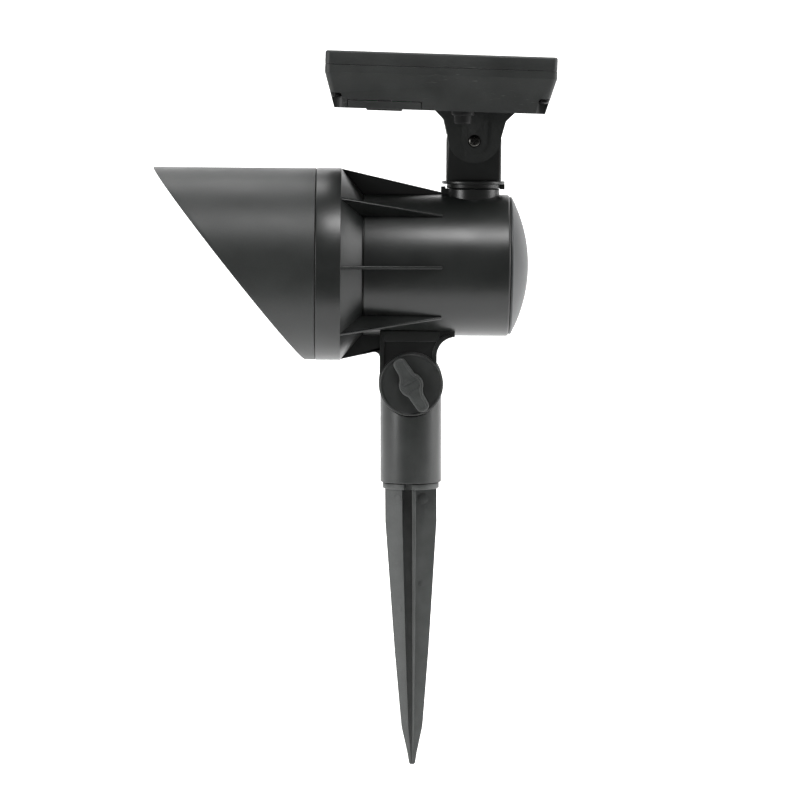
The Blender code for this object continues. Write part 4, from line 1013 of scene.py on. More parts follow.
@dataclass
class Lamp:
    """Housing with its fins, neck and forked stem, and what is held in it."""

    shop: Workshop
    seat: Seat
    axis_rise: float = 50.7
    body_radius: float = 30.4
    wall: float = 2.2
    bell_radius: float = 41.3
    bell_front: float = -41.1
    bell_rear: float = -30.4
    cone_end: float = -20.7
    cone_radius: float = 29.4
    body_end: float = 41.6
    bell_bore: float = 38.9
    shoulder: Pair = (-32.5, 36.3)
    fins: int = 8
    fin_thickness: float = 1.3
    fin_end: float = 12.6
    swivel_x: float = 26.1
    neck_radius: float = 11.3
    neck_bore: float = 8.2
    neck_rise: float = 2.45
    cheek_radius: float = 13.8
    cheek_outer: float = 12.9
    fork_half: float = 7.6
    crown_radius: float = 13.4
    stem_left: float = -13.5
    stem_right: float = 10.9
    stem_fillet: float = 8.0
    recess: float = 1.4
    rib: float = 2.0
    border_step: float = 0.05
    stop_outer: float = 13.9
    fin_fillet: float = 3.0
    cap_radius: float = 29.5
    cap_height: float = 7.4
    cap_rim: float = 0.9
    cap_wall: float = 2.0
    cap_spigot: float = 5.0

    def shell(self) -> Surface:
        """Bell ring, cone and body, turned in one about the lamp's axis.

        Returns:
            The surface.
        """
        slope = (self.bell_radius - self.cone_radius) / (self.cone_end - self.bell_rear)
        drop = self.wall * math.hypot(1.0, slope)
        bore = self.body_radius - self.wall

        def inside_at(radius: float) -> float:
            """Where the inner cone has this radius."""
            return self.bell_rear + (self.bell_radius - drop - radius) / slope

        profile = filleted(
            [
                (bore, self.body_end, 0.3),
                (self.body_radius, self.body_end, 1.1),
                (self.body_radius, self.cone_end, 0.35),
                (self.cone_radius, self.cone_end, 0.2),
                (self.bell_radius - 0.3, self.bell_rear, 0.3),
                (self.bell_radius, self.bell_rear, 0.15),
                (self.bell_radius, self.bell_front, 0.45),
                (self.bell_bore, self.bell_front, 0.3),
                (self.bell_bore, self.shoulder[0], 0.2),
                (self.shoulder[1], self.shoulder[0], 0.2),
                (self.shoulder[1], inside_at(self.shoulder[1]), 0.5),
                (bore, inside_at(bore), 1.5),
            ],
            4,
        )
        return turned(profile, along_x(0.0, self.axis_rise))

    def fin(self, number: int) -> Surface:
        """One fin: its ridge runs straight from the ring to its end just above the body.

        Args:
            number: Which fin, counted round the axis from the top.

        Returns:
            The surface.
        """
        middle = self.body_radius - self.wall / 2
        outline = filleted(
            [
                (self.bell_rear - GAP, self.bell_radius - 0.25, 0.1),
                (self.fin_end, self.body_radius + 0.85, 0.35),
                (self.fin_end, middle, 0.0),
                (self.cone_end, middle - 0.6, 0.0),
                (self.bell_rear - GAP, self.bell_radius - 2.0, 0.0),
            ],
            4,
        )
        turn = 2 * math.pi * number / self.fins
        up = (0.0, -math.sin(turn), math.cos(turn))
        out = (0.0, math.cos(turn), math.sin(turn))
        axes = Axes((0.0, 0.0, self.axis_rise), (1.0, 0.0, 0.0), up, out)
        return slab(outline, self.fin_thickness, 0.4, axes)

    def flare(self, radius: float, start: float, end: float, steps: int) -> np.ndarray:
        """Arc about the middle of the fillet that flares the stem's right edge into the body."""
        middle = (self.stem_right + self.stem_fillet, self.axis_rise - self.body_radius - self.stem_fillet)
        return arc(middle, radius, start, end, steps)

    def stem_outline(self, bottom: np.ndarray) -> np.ndarray:
        """The stem from the side: up its straight left edge, and down its flared right edge.

        Args:
            bottom: Points of its lower end, from right to left.

        Returns:
            Points of (n, 2).
        """
        flare = self.flare(self.stem_fillet, 92, 180, 12)
        left, top = self.stem_left, self.axis_rise - self.body_radius + 3.4
        return np.concatenate([[[left, 0.0], [left, top], [flare[0][0], top]], flare, bottom])

    def fin_root(self) -> Surface:
        """Small web in the lowest fin's plane, whose fillet joins the fin's ridge to the stem.

        Returns:
            The surface.
        """
        slope = (self.bell_radius - self.body_radius - 1.1) / (self.fin_end - self.bell_rear)
        ridge = self.axis_rise - self.bell_radius + 0.25 + slope * (self.stem_left - self.bell_rear)
        left, foot = self.stem_left, ridge - 6.0
        outline = filleted(
            [
                (left + 2.0, ridge + 2.5, 0.0),
                (left - 8.0, ridge - 8.0 * slope + 1.0, 0.0),
                (left - 8.0, ridge - 8.0 * slope, 0.0),
                (left, ridge, self.fin_fillet),
                (left, foot, 0.0),
                (left + 2.0, foot, 0.0),
            ],
            8,
        )
        return slab(outline, self.fin_thickness, 0.3, along_y())

    def stem(self) -> list[Surface]:
        """Fork: a web over the tongue's crown, two cheeks, and the raised borders of their outer faces.

        The borders' faces lie a step behind each other, so that no two of them share a plane.

        Returns:
            The fork's surfaces, with the fin's root.
        """
        notch = math.degrees(math.acos(self.stem_right / self.cheek_radius))
        round_end = arc((0, 0), self.cheek_radius, notch, -180, 44)
        crown = arc((0, 0), self.crown_radius, 36, 168, 30)
        web = slab(self.stem_outline(crown), 2 * self.fork_half + 0.2, 0.02, along_y())
        shapes = [web, self.fin_root()]
        plate_outer = self.cheek_outer - self.recess
        depth = plate_outer - self.fork_half
        floor = self.axis_rise - self.body_radius
        left, right = self.stem_left, self.stem_right
        rib = self.rib
        outer_flare = self.flare(self.stem_fillet, 100, 178, 10)
        inner_flare = self.flare(self.stem_fillet + rib, 178, 112, 10)
        right_rib = np.concatenate([outer_flare, [[right, 3.0], [right - rib, 3.0]], inner_flare])
        left_top, bar_top, bar_end = floor + 2, floor + 2.5, right + 1
        inner = left + rib
        left_rib = filleted([(left, 0, 0), (inner, 0, 0), (inner, left_top, 0), (left, left_top, 0)])
        top_rib = filleted(
            [(left, floor - rib, 0), (bar_end, floor - rib, 0), (bar_end, bar_top, 0), (left, bar_top, 0)]
        )
        disc = arc((0, 0), self.cheek_radius, 0, 355, 71)
        for side in (-1, 1):
            middle = side * (self.fork_half + depth / 2)
            shapes.append(slab(self.stem_outline(round_end), depth, 0.3, along_y(0, middle, 0)))
            raised = side * (plate_outer + self.recess / 2 - 0.2)
            for step, outline in enumerate((disc, left_rib, right_rib, top_rib)):
                middle = raised - side * self.border_step * step
                shapes.append(slab(outline, self.recess + 0.4, 0.3, along_y(0, middle, 0)))
        return shapes

    def neck(self) -> list[Surface]:
        """Neck that the swivel post stands in, with the stop beside it.

        Returns:
            The ring, the stop's foot and its finger.
        """
        base = self.axis_rise + self.body_radius - self.wall / 2 - 2.0
        top = self.axis_rise + self.body_radius + self.neck_rise
        bore, outer = self.neck_bore, self.neck_radius
        ring = filleted([(bore, base, 0), (outer, base, 0), (outer, top, 0.5), (bore, top, 0.3)], 4)
        half = (self.stop_outer - self.neck_radius + 0.6) / 2
        stop_middle = self.swivel_x - self.stop_outer + half
        low, high = self.axis_rise + self.body_radius - 1.1, top + 0.1
        foot_place = (stop_middle, 0.0, (low + high) / 2)
        foot = slab(box_outline(half, 1.5, 0.25), high - low, 0.2, along_z(*foot_place))
        finger_place = (self.swivel_x - self.stop_outer + 1.0, 0.0, high - 0.45)
        stop = slab(box_outline(1.0, 1.45, 0.25), 2.6, 0.25, along_z(*finger_place))
        return [turned(ring, along_z(self.swivel_x)), foot, stop]

    def build_housing(self) -> None:
        """The housing's shell, fins, stem and neck, as pieces of one moulding."""
        shop, seat = self.shop, self.seat
        bore = arc((0, 0), self.neck_bore, 0, 360, 64)[:-1]
        reach = 2 * self.wall + 4
        hole = slab(bore, reach, 0.0, along_z(self.swivel_x, 0, self.axis_rise + self.body_radius))
        shell = shop.mesh("housing_shell", [self.shell()], seat)
        shop.bored(shell, [hole], seat)
        fins = shop.mesh("housing_fins", [self.fin(number) for number in range(self.fins)], seat)
        neck = shop.mesh("housing_neck", self.neck(), seat)
        stem = shop.mesh("housing_stem", self.stem(), seat)
        for piece in (shell, fins, neck, stem):
            shop.finish(piece, "housing_satin_moulding", "lamp", ["lamp_body"], "housing_plastic")

    def build_cap(self) -> None:
        """Rear cap: a shallow dome of one sphere, its rim, and its spigot."""
        radius, height, rim, wall = self.cap_radius, self.cap_height, self.cap_rim, self.cap_wall
        foot = self.body_end + GAP / 3
        sphere = (radius**2 + height**2) / (2 * height)
        centre = foot + rim + height - sphere
        edge = math.degrees(math.asin(radius / sphere))
        spigot = self.body_radius - self.wall - GAP
        inner = spigot - 1.9
        inner_edge = math.degrees(math.asin(inner / (sphere - wall)))
        outside = arc((centre, 0), sphere, 0, edge - 0.8, 28)[:, ::-1]
        inside = arc((centre, 0), sphere - wall, inner_edge, 0, 14)[:, ::-1]
        corner = filleted(
            [
                (outside[-1][0], outside[-1][1], 0.0),
                (radius, foot + rim + 0.05, 0.9),
                (radius, foot, 0.3),
                (spigot, foot, 0.1),
                (spigot, foot - self.cap_spigot, 0.5),
                (inner, foot - self.cap_spigot, 0.4),
            ],
            5,
        )
        profile = np.concatenate([outside[:-1], corner, inside])
        profile[0, 0] = profile[-1, 0] = 0.0
        cap = self.shop.mesh("rear_cap_moulding", [turned(profile, along_x(0.0, self.axis_rise))], self.seat)
        # The cap's lighter grey finish is painted light: the dome's sheen from the side, put into its colour
        self.shop.finish(cap, "cap_painted_sheen_moulding", "lamp", ["rear_cap"], "cap_plastic")


@dataclass
class Hood:
    """Round hood in front of the bell ring, cut off on the slant."""

    shop: Workshop
    seat: Seat
    axis_rise: float = 50.7
    radius: float = 41.15
    wall: float = 2.25
    rear: float = -41.2
    tip: float = -111.4
    cut: float = 38.6
    edge: float = 0.3
    spigot_radius: float = 38.6
    spigot_end: float = -36.9
    spigot_wall: float = 1.7
    root: float = 3.4

    def surface(self) -> Surface:
        """The hood over profile and angle t round the lamp's axis, where z is r cos t above the axis.

        Its front lies on the slanting plane x = tip + (radius - z) * tan(cut). A point at share s of the
        way from the rear to the front has x = rear + s * (front - rear), and the rim is a half round of
        the edge's radius.

        Returns:
            The surface.
        """
        angle = np.linspace(0.0, 2 * math.pi, 2 * TURN_STEPS, endpoint=False)
        bore = self.radius - self.wall
        wall_rings, rim_rings = 25, 6
        lengthwise = np.linspace(0.0, 1.0, wall_rings + 1)[:-1]
        rim_angle = np.radians(np.linspace(0.0, 90.0, rim_rings))
        drawn = self.edge * (1 - np.cos(rim_angle))
        outer_r = np.concatenate([np.full(wall_rings, self.radius), self.radius - drawn])
        inner_r = np.concatenate([bore + drawn[::-1], np.full(wall_rings, bore)])
        radii = np.concatenate([outer_r, inner_r])
        share = np.concatenate([lengthwise, np.ones(2 * rim_rings), lengthwise[::-1]])
        back = self.edge * (1 - np.sin(np.concatenate([rim_angle, rim_angle[::-1]])))
        set_back = np.concatenate([np.zeros(wall_rings), back, np.zeros(wall_rings)])
        half_rings = wall_rings + rim_rings
        root = np.concatenate([np.full(half_rings, self.rear), np.full(half_rings, self.rear - self.root)])
        across, height = radii[:, None] * np.sin(angle), radii[:, None] * np.cos(angle)
        front = self.tip + (self.radius - height) * math.tan(math.radians(self.cut))
        along = root[:, None] + share[:, None] * (front + self.edge - root[:, None])
        near_front = share[:, None] >= 1.0
        along = np.where(near_front, front + set_back[:, None], along)
        spigot = np.array(
            [
                (self.spigot_radius - self.spigot_wall, self.rear - 2.6),
                (self.spigot_radius - self.spigot_wall, self.spigot_end),
                (self.spigot_radius - 0.3, self.spigot_end),
                (self.spigot_radius, self.spigot_end - 0.3),
                (self.spigot_radius, self.rear + 0.02),
                (self.radius - 0.3, self.rear),
            ]
        )
        ends = np.stack(
            [
                np.broadcast_to(spigot[:, 1:], (len(spigot), len(angle))),
                spigot[:, :1] * np.sin(angle),
                spigot[:, :1] * np.cos(angle),
            ],
            axis=-1,
        )
        grid = np.concatenate([np.stack([along, across, height], axis=-1), ends])
        grid[0, :, 0] -= 0.3
        return Surface(grid + (0.0, 0.0, self.axis_rise), rows_close=True)

    def build(self) -> None:
        """Makes the hood."""
        hood = self.shop.mesh("hood_moulding", [self.surface()], self.seat)
        self.shop.finish(hood, "hood_satin_moulding", "lamp", ["hood"], "hood_plastic")


@dataclass
class Optics:
    """Lens and reflector. The gasket and the light source behind them keep their CAD solids."""

    shop: Workshop
    seat: Seat
    axis_rise: float = 50.7
    lens_radius: float = 38.5
    lens_front: float = -36.6
    lens_thickness: float = 2.0
    rim_radius: float = 36.0
    hole_radius: float = 6.7
    bowl_front: float = -34.3
    bowl_back: float = -15.3
    bowl_wall: float = 1.2
    facets: int = 24

    def bowl(self) -> Surface:
        """Parabola r^2 = hole^2 + share * (rim^2 - hole^2), with shallow petals pressed in it.

        A petal draws the inner radius in by a small amount times the square of the sine of half the
        facet count times the angle.

        Returns:
            The surface.
        """
        share = np.linspace(0.0, 1.0, 30)
        radius = np.sqrt(self.hole_radius**2 + share * (self.rim_radius**2 - self.hole_radius**2))
        along = self.bowl_back + share * (self.bowl_front - self.bowl_back)
        angle = np.linspace(0.0, 2 * math.pi, 240, endpoint=False)
        petal = 0.35 * np.sin(self.facets / 2 * angle) ** 2
        outer = np.repeat(radius[:, None], len(angle), axis=1)
        inner = outer[::-1] - self.bowl_wall * 0.75 - petal[None, :] * np.sin(np.pi * share[::-1])[:, None]
        grid_radius = np.concatenate([outer, inner])
        grid_along = np.repeat(np.concatenate([along, along[::-1]])[:, None], len(angle), axis=1)
        local = np.stack([grid_radius * np.cos(angle), grid_radius * np.sin(angle), grid_along], axis=-1)
        return Surface(along_x(0.0, self.axis_rise).map(local), rows_close=True)

    def build(self) -> None:
        """Makes the lens with its rounded rim, and the reflector."""
        back = self.lens_front + self.lens_thickness
        profile = filleted(
            [
                (0.0, back, 0.0),
                (self.lens_radius, back, 0.3),
                (self.lens_radius, self.lens_front, 0.4),
                (0.0, self.lens_front, 0.0),
            ]
        )
        lens = self.shop.mesh("lens_moulding", [turned(profile, along_x(0.0, self.axis_rise))], self.seat)
        self.shop.finish(lens, "clear_polycarbonate", "lamp", ["lens"], "clear_plastic")
        bowl = self.shop.mesh("reflector_bowl", [self.bowl()], self.seat)
        self.shop.finish(bowl, "metallised_reflector", "lamp", ["reflector"], "mirror_coat")


@dataclass
class Knob:
    """Wing knob of the clamp."""

    shop: Workshop
    seat: Seat
    radius: float = 13.3
    disc: float = 3.0
    back: float = -13.2
    hub_radius: float = 5.3
    arm_half_length: float = 12.7
    arm_half_width: float = 2.75
    arm_height: float = 6.4
    rest_turn: float = 60.5

    def wing(self) -> np.ndarray:
        """Hub and two arms in one outline: two arcs of the hub, and two arms with round ends between them.

        Returns:
            Points of (n, 2).
        """
        length, half, hub = self.arm_half_length, self.arm_half_width, self.hub_radius
        foot = math.sqrt(hub**2 - half**2) * 0.98
        corners: list[tuple[float, float, float]] = []
        side = [(length, -half, 2.5), (length, half, 2.5), (foot + 1.3, half, 3.0)]
        hub_arc = arc((0, 0), hub, 44, 136, 14)
        corners += side
        corners += [(float(x), float(y), 0.4) for x, y in hub_arc]
        corners += [(-x, -y, r) for x, y, r in side]
        corners += [(-float(x), -float(y), 0.4) for x, y in hub_arc]
        return filleted(corners, 8)

    def build(self) -> None:
        """Makes the disc with its raised rim, and the wing with its raised border."""
        face, lip = -self.disc + 0.35, self.radius - 0.75
        rim = filleted(
            [
                (0, face, 0),
                (lip - 0.3, face, 0.15),
                (lip, -self.disc, 0.1),
                (self.radius, -self.disc, 0.4),
                (self.radius, 0, 0.3),
                (0, 0, 0),
            ],
            4,
        )
        turn = math.radians(self.rest_turn)
        across = (math.cos(turn), 0.0, -math.sin(turn))
        up = (math.sin(turn), 0.0, math.cos(turn))
        depth = self.arm_height - 0.3
        middle = self.back - 0.3 - depth / 2
        wing_axes = Axes((0.0, middle, 0.0), across, up, (0.0, -1.0, 0.0))
        hub_axes = Axes((0.0, self.back, 0.0), (1.0, 0.0, 0.0), (0.0, 0.0, 1.0), (0.0, 1.0, 0.0))
        disc = self.shop.mesh("wing_knob_disc", [turned(rim, hub_axes)], self.seat)
        self.shop.finish(disc, "knob_matt_moulding", "knob", ["wing_knob"], "knob_plastic")
        shape = slab(self.wing(), depth, 0.6, wing_axes, 0.15, (0.45, 0.3))
        wing = self.shop.mesh("wing_knob_wing", [shape], self.seat)
        # The wing's lighter finish is a painted highlight: disc and wing are one moulding of one colour
        self.shop.finish(wing, "wing_painted_highlight_moulding", "knob", ["wing_knob"], "knob_plastic")


@dataclass
class SwivelPost:
    """Swivel post: two rings under a square column with a round top, and its stop block."""

    shop: Workshop
    seat: Seat
    swivel_x: float = 26.1
    ring_bottom: float = 83.7
    lower_radius: float = 11.45
    lower_height: float = 1.9
    flange_radius: float = 13.5
    flange_height: float = 1.3
    pivot_rise: float = 17.1
    width: float = 23.5
    depth: float = 16.0
    spigot_radius: float = 7.9
    foot: float = 72.5
    stop_radius: float = 13.2
    cable_offset: float = 4.6
    cable_bore: float = 2.2

    def build(self) -> None:
        """Makes the rings, the column and the stop block, with the cable's bore through them."""
        flange = self.ring_bottom + self.lower_height
        top = flange + self.flange_height
        rings = filleted(
            [
                (0.0, top, 0.0),
                (self.flange_radius, top, 0.35),
                (self.flange_radius, flange, 0.35),
                (self.lower_radius, flange, 0.15),
                (self.lower_radius, self.ring_bottom, 0.45),
                (self.spigot_radius, self.ring_bottom, 0.1),
                (self.spigot_radius, self.foot, 0.6),
                (0.0, self.foot, 0.0),
            ],
            4,
        )
        half = self.width / 2
        pivot = top + self.pivot_rise
        bottom = -self.pivot_rise - 0.6
        outline = np.concatenate([[[half, bottom]], arc((0, 0), half, 0, 180, 40), [[-half, bottom]]])
        column = slab(outline, self.depth, 1.4, along_y(self.swivel_x, 0.0, pivot))
        stop_height = self.lower_height + 0.4
        stop_level = self.ring_bottom - 0.35 + stop_height / 2
        stop = slab(
            box_outline(1.05, 1.5, 0.25),
            stop_height,
            0.2,
            along_z(self.swivel_x + self.stop_radius - 0.8, 0.0, stop_level),
        )
        shapes = [turned(rings, along_z(self.swivel_x)), stop]
        post = self.shop.mesh("swivel_post_rings", shapes, self.seat)
        column_piece = self.shop.mesh("swivel_post_column", [column], self.seat)
        bore = arc((self.cable_offset, 0), self.cable_bore, 0, 360, 32)[:-1]
        through = slab(bore, 90.0, 0.0, along_z(self.swivel_x, 0.0, 90.0))
        for piece in (post, column_piece):
            self.shop.bored(piece, [through], self.seat)
            self.shop.finish(piece, "post_satin_moulding", "panel_post", ["swivel_post"], "post_plastic")


def cross_head(radius: float, height: float, arm: float, slot: float, axes: Axes) -> Surface:
    """Pan head with a cross recess, over radius share s and angle t.

    The face is a dome of height * sqrt(1 - (0.85 s)^2), less a recess that falls off outside the cross
    |a| < slot, |b| < arm or |b| < slot, |a| < arm. It is closed by a flat underside.

    Args:
        radius: The head's radius.
        height: The head's height.
        arm: Half length of the cross.
        slot: Half width of its arms.
        axes: The head's underside and its "out" direction.

    Returns:
        The surface.
    """
    share = np.concatenate([np.linspace(0.0, 1.0, 34), [1.0, 0.96, 0.0]])
    angle = np.linspace(0.0, 2 * math.pi, 96, endpoint=False)
    r = radius * share[:, None]
    a, b = np.abs(r * np.cos(angle)), np.abs(r * np.sin(angle))
    dome = height * np.sqrt(np.clip(1 - (0.85 * share[:, None]) ** 2, 0, 1)) + 0.0 * a
    inside = np.maximum(np.minimum(slot - b, arm - a), np.minimum(slot - a, arm - b))
    depth = 0.75 * height * np.clip(inside / 0.16, 0.0, 1.0)
    level = dome - depth
    level[34:] = 0.0
    return Surface(axes.map(np.stack([r * np.cos(angle), r * np.sin(angle), level], axis=-1)), cap_ends=False)


@dataclass
class PanelHead:
    """Solar panel head: tray with ears, bezel, window and screws."""

    shop: Workshop
    seat: Seat
    size: float = 97.0
    centre_x: float = -15.7
    floor: float = 12.45
    top: float = 36.2
    bezel: float = 5.85
    plate: float = 1.8
    corner: float = 2.4
    wall: float = 2.0
    window: float = 80.0
    window_thickness: float = 2.0
    screw_x: float = 43.2
    pocket_height: float = 6.2
    screw_head: Pair = (2.3, 1.7)
    pad_outer: float = 12.3
    pin_head: Pair = (2.5, 1.6)

    def build_bezel(self) -> None:
        """Bezel: a profile with rounded outer edge and a bevelled window edge, carried round the panel."""
        bottom = self.top - self.bezel + 0.1
        opening = (self.size - self.window) / 2
        under = self.top - self.plate
        profile = filleted(
            [
                (0.0, bottom, 0.2),
                (0.0, self.top, 0.9),
                (opening - 1.0, self.top, 0.3),
                (opening, self.top - 0.9, 0.2),
                (opening, under, 0.15),
                (self.wall, under, 0.3),
                (self.wall, bottom, 0.2),
            ],
            4,
        )
        half = self.size / 2
        frame = swept_frame(profile, half, half, self.corner, along_z(self.centre_x))
        bezel = self.shop.mesh("panel_bezel_moulding", [frame], self.seat)
        self.shop.finish(bezel, "panel_textured_moulding", "panel_head", ["panel_bezel"], "bezel_plastic")

    def build_window(self) -> None:
        """Window with rounded rims, under the bezel's opening."""
        half = self.window / 2 + 1.0
        level = self.top - self.plate - GAP - self.window_thickness / 2
        plate = slab(
            box_outline(half, half, 1.2), self.window_thickness, 0.2, along_z(self.centre_x, 0.0, level)
        )
        window = self.shop.mesh("solar_window_plate", [plate], self.seat)
        window.data.set_sharp_from_angle(angle=math.radians(10))
        self.shop.finish(window, "clear_polycarbonate", "panel_head", ["solar_window"], "clear_plastic")

    def build_screws(self) -> None:
        """Corner screws with cross heads that face down, and the pivot screw with its head to the front."""
        radius, height = self.screw_head
        number = 0
        for side_x in (-1, 1):
            for side_y in (-1, 1):
                number += 1
                level = self.floor + self.pocket_height - GAP
                place = (self.centre_x + side_x * self.screw_x, side_y * self.screw_x, level)
                axes = Axes(place, (1, 0, 0), (0, -1, 0), (0, 0, -1))
                shank = filleted([(0, -12.0, 0), (1.2, -12.0, 0.5), (1.2, 0.2, 0), (0, 0.2, 0)])
                shapes = [cross_head(radius, height, 1.45, 0.32, axes), turned(shank, axes, 24)]
                screw = self.shop.mesh(f"corner_screw_{number}_turned", shapes, self.seat)
                node = f"corner_screw_{number}"
                self.shop.finish(screw, "black_oxide_steel", "panel_head", [node], "zinc_steel")
        radius, height = self.pin_head
        axes = Axes((0, -self.pad_outer + 0.9 + 0.3, 0), (1, 0, 0), (0, 0, 1), (0, -1, 0))
        shank = filleted([(0, -23.0, 0), (1.5, -23.0, 0.4), (1.5, 0.3, 0), (0, 0.3, 0)])
        shapes = [cross_head(radius, height + 0.2, 1.6, 0.36, axes), turned(shank, axes, 32)]
        pin = self.shop.mesh("pivot_screw_turned", shapes, self.seat)
        self.shop.finish(pin, "black_nickelled_steel", "panel_head", ["pivot_screw"], "zinc_steel")

    def build(self, nodes: dict[str, bpy.types.Object]) -> None:
        """Makes the tray from its CAD solid, and then what closes it.

        Args:
            nodes: The CAD nodes' objects by name.
        """
        tray = self.shop.merged_copy("panel_tray_moulding", nodes["panel_base"], 0.4)
        self.shop.finish(tray, "panel_textured_moulding", "panel_head", ["panel_base"], "panel_plastic")
        self.build_bezel()
        self.build_window()
        self.build_screws()


@dataclass
class Door:
    """Battery door with its grip."""

    shop: Workshop

    def build(self, nodes: dict[str, bpy.types.Object]) -> None:
        """Makes the door from its CAD solid."""
        door = self.shop.merged_copy("battery_door_moulding", nodes["battery_door"], 0.25)
        self.shop.finish(door, "panel_textured_moulding", "door", ["battery_door"], "door_plastic")


@dataclass
class Button:
    """Rubber button of the push switch."""

    shop: Workshop
    seat: Seat
    place: Pair = (-5.5, -20.0)
    floor: float = 12.45
    travel: float = 1.5
    radius: float = 4.8
    tip_radius: float = 3.5
    drop: float = 5.3

    def build(self) -> None:
        """Makes the stepped, rounded cap."""
        tip = self.floor - self.drop
        shoulder = self.floor - self.travel
        profile = filleted(
            [
                (0.0, self.floor + self.travel, 0.0),
                (self.radius, self.floor + self.travel, 0.2),
                (self.radius, shoulder, 0.7),
                (self.tip_radius + 0.2, shoulder - 0.3, 0.4),
                (self.tip_radius, tip, 1.0),
                (0.0, tip, 0.0),
            ],
            5,
        )
        surface = turned(profile, along_z(*self.place), SMALL_TURN_STEPS)
        button = self.shop.mesh("switch_button_cap", [surface], self.seat)
        self.shop.finish(button, "black_rubber", "switch", ["switch_button"], "black_rubber")


NODE_FINISHES = {
    "cap_seal_ring": "black_rubber",
    "lens_gasket": "black_rubber",
    "led_emitter": "phosphor_resin",
    "led_board": "white_solder_mask",
    "led_carrier": "black_carrier_moulding",
    "clamp_bolt": "zinc_plated_steel",
    "clamp_nut": "zinc_plated_steel",
    "swivel_clip": "zinc_plated_steel",
    "post_cable": "black_rubber",
    "solar_cell": "silicon_cell",
    "pivot_nut": "zinc_plated_steel",
    "battery_cell_1": "cell_shrink_sleeve",
    "battery_cell_2": "cell_shrink_sleeve",
    "battery_contact_1": "zinc_plated_steel",
    "battery_contact_2": "zinc_plated_steel",
    "battery_link": "zinc_plated_steel",
    "charge_board": "green_solder_mask",
    "switch_body": "black_carrier_moulding",
}


def aimed(thing: bpy.types.Object, place: Triple, aim: Triple) -> None:
    """Stands a light or a camera at its place and turns it to face its aim."""
    thing.location = place
    thing.rotation_euler = (Vector(aim) - Vector(place)).to_track_quat("-Z", "Y").to_euler()


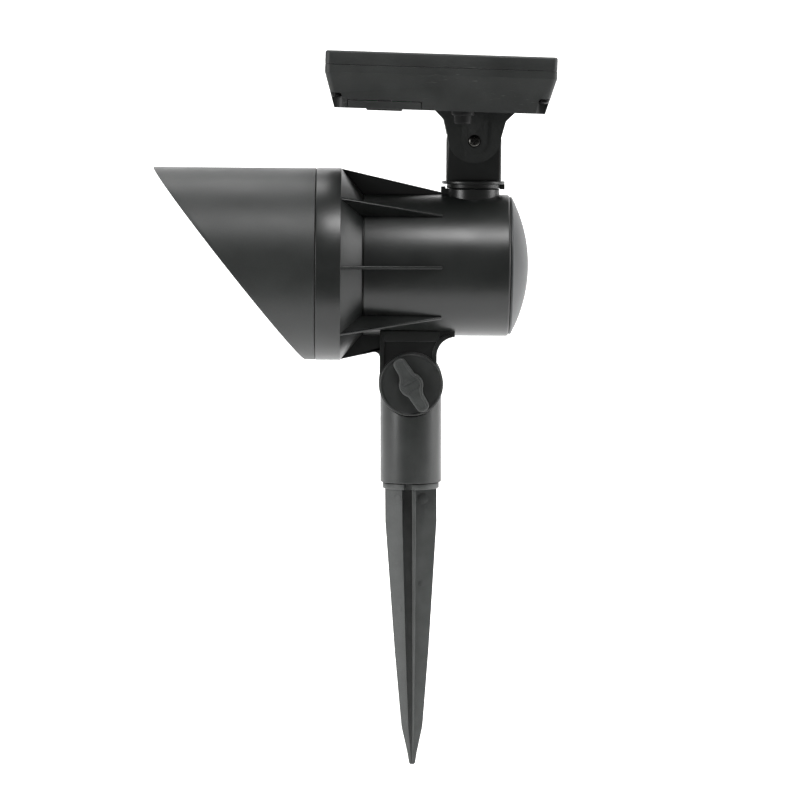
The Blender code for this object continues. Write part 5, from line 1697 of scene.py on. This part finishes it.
@dataclass
class Studio:
    """Pale sweep, soft lights and the camera."""

    floor_level: float = -0.1212
    camera_place: Triple = (-0.0154, -1.72, 0.163)
    target: Triple = (-0.00464, 0.0, 0.03794)
    lens: float = 180.0
    sweep_front: float = -0.25
    sweep_back: float = 2.2
    sweep_half: float = 4.0
    sweep_radius: float = 0.9

    def build_sweep(self) -> None:
        """Floor that curves up into a backdrop: the profile is a line, a quarter circle and a line."""
        bend = np.radians(np.linspace(0.0, 90.0, 24))
        wall = self.sweep_back + self.sweep_radius
        y = np.concatenate([[self.sweep_front], self.sweep_back + self.sweep_radius * np.sin(bend), [wall]])
        z = np.concatenate([[0.0], self.sweep_radius * (1 - np.cos(bend)), [4.0]]) + self.floor_level
        x = np.array([-self.sweep_half, self.sweep_half])
        along, height = np.repeat(y[:, None], 2, axis=1), np.repeat(z[:, None], 2, axis=1)
        grid = np.stack([np.broadcast_to(x, along.shape), along, height], axis=-1)
        index = np.arange(2 * len(y)).reshape(-1, 2)
        faces = np.stack([index[:-1, 0], index[:-1, 1], index[1:, 1], index[1:, 0]], axis=1)
        mesh = bpy.data.meshes.new("studio_sweep")
        mesh.from_pydata(grid.reshape(-1, 3).tolist(), [], faces.tolist())
        mesh.shade_smooth()
        sweep = placed("studio_sweep", mesh)
        paper = bpy.data.materials.new("white_paper")
        paper.use_nodes = True
        shader = paper.node_tree.nodes["Principled BSDF"]
        shader.inputs["Base Color"].default_value = linear("f6f6f6")
        shader.inputs["Roughness"].default_value = 0.9
        shader.inputs["Emission Color"].default_value = (1.0, 1.0, 1.0, 1.0)
        shader.inputs["Emission Strength"].default_value = 0.62
        mesh.materials.append(paper)

    def add_light(self, name: str, place: Triple, aim: Triple, size: Pair, power: float) -> None:
        """A soft box: a rectangular area light that faces its aim.

        Args:
            name: The light's name.
            place: Where it stands, in metres.
            aim: What it faces.
            size: Its width and height.
            power: Its power in watts.
        """
        data = bpy.data.lights.new(name, "AREA")
        data.shape = "RECTANGLE"
        data.size, data.size_y = size
        data.energy = power
        aimed(placed(name, data), place, aim)

    def build(self) -> None:
        """Makes the sweep, the lights, the world and the camera."""
        self.build_sweep()
        middle = (0.0, 0.0, 0.06)
        self.add_light("key_box", (0.3, -1.15, 1.6), middle, (0.8, 0.55), 24.0)
        self.add_light("right_box", (1.8, 0.1, 0.7), middle, (1.0, 1.6), 22.0)
        self.add_light("left_box", (-1.6, -0.9, 0.35), middle, (0.55, 1.2), 17.0)
        self.add_light("backdrop_box", (0.0, 1.0, 2.8), (0.0, 1.6, 0.0), (3.0, 1.5), 60.0)
        world = bpy.data.worlds.new("studio_world")
        world.use_nodes = True
        world.node_tree.nodes["Background"].inputs["Color"].default_value = (1.0, 1.0, 1.0, 1.0)
        world.node_tree.nodes["Background"].inputs["Strength"].default_value = 0.2
        scene = bpy.context.scene
        scene.world = world
        scene.view_settings.view_transform = "Standard"
        data = bpy.data.cameras.new("camera")
        data.lens = self.lens
        data.clip_end = 20.0
        scene.camera = placed("camera", data)
        aimed(scene.camera, self.camera_place, self.target)


def seats(joints: list[dict]) -> tuple[Seat, Seat]:
    """The lamp's and the panel's seats, from the frame's joints.

    The lamp's tilt is the swivel axis's lean from +Z, and the panel's tilt is the switch's.

    Args:
        joints: The frame's joints.

    Returns:
        The lamp's seat and the panel's seat.
    """
    by_name = {joint["name"]: joint for joint in joints}
    swivel, press = by_name["panel_swivel"]["axis"], by_name["switch_press"]["axis"]
    lamp = Seat(tuple(by_name["lamp_tilt"]["pos_m"]), math.atan2(swivel[0], swivel[2]))
    panel = Seat(tuple(by_name["panel_tilt"]["pos_m"]), math.atan2(press[0], press[2]))
    return lamp, panel


def main() -> None:
    """Loads the frame, builds each sub-assembly round it, and dresses the CAD nodes that keep their solids.
    """
    logging.basicConfig(level=logging.INFO, format="%(message)s")
    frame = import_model()
    nodes = frame["nodes"]
    lamp_seat, panel_seat = seats(frame["joints"])
    low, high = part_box("solar_cell")
    finishes = Finishes(panel_seat, tuple((low + high) / 2))
    shop = Workshop(finishes)
    Studio().build()
    StakeBase(shop).build()
    lamp = Lamp(shop, lamp_seat)
    lamp.build_housing()
    lamp.build_cap()
    Hood(shop, lamp_seat).build()
    Optics(shop, lamp_seat).build()
    Knob(shop, lamp_seat).build()
    SwivelPost(shop, lamp_seat).build()
    PanelHead(shop, panel_seat).build(nodes)
    Door(shop).build(nodes)
    Button(shop, panel_seat).build()
    for name, look in NODE_FINISHES.items():
        finishes.dress(nodes[name], look)
        LOG.info("%s keeps its CAD solid in %s", name, look)


if __name__ == "__main__":
    main()
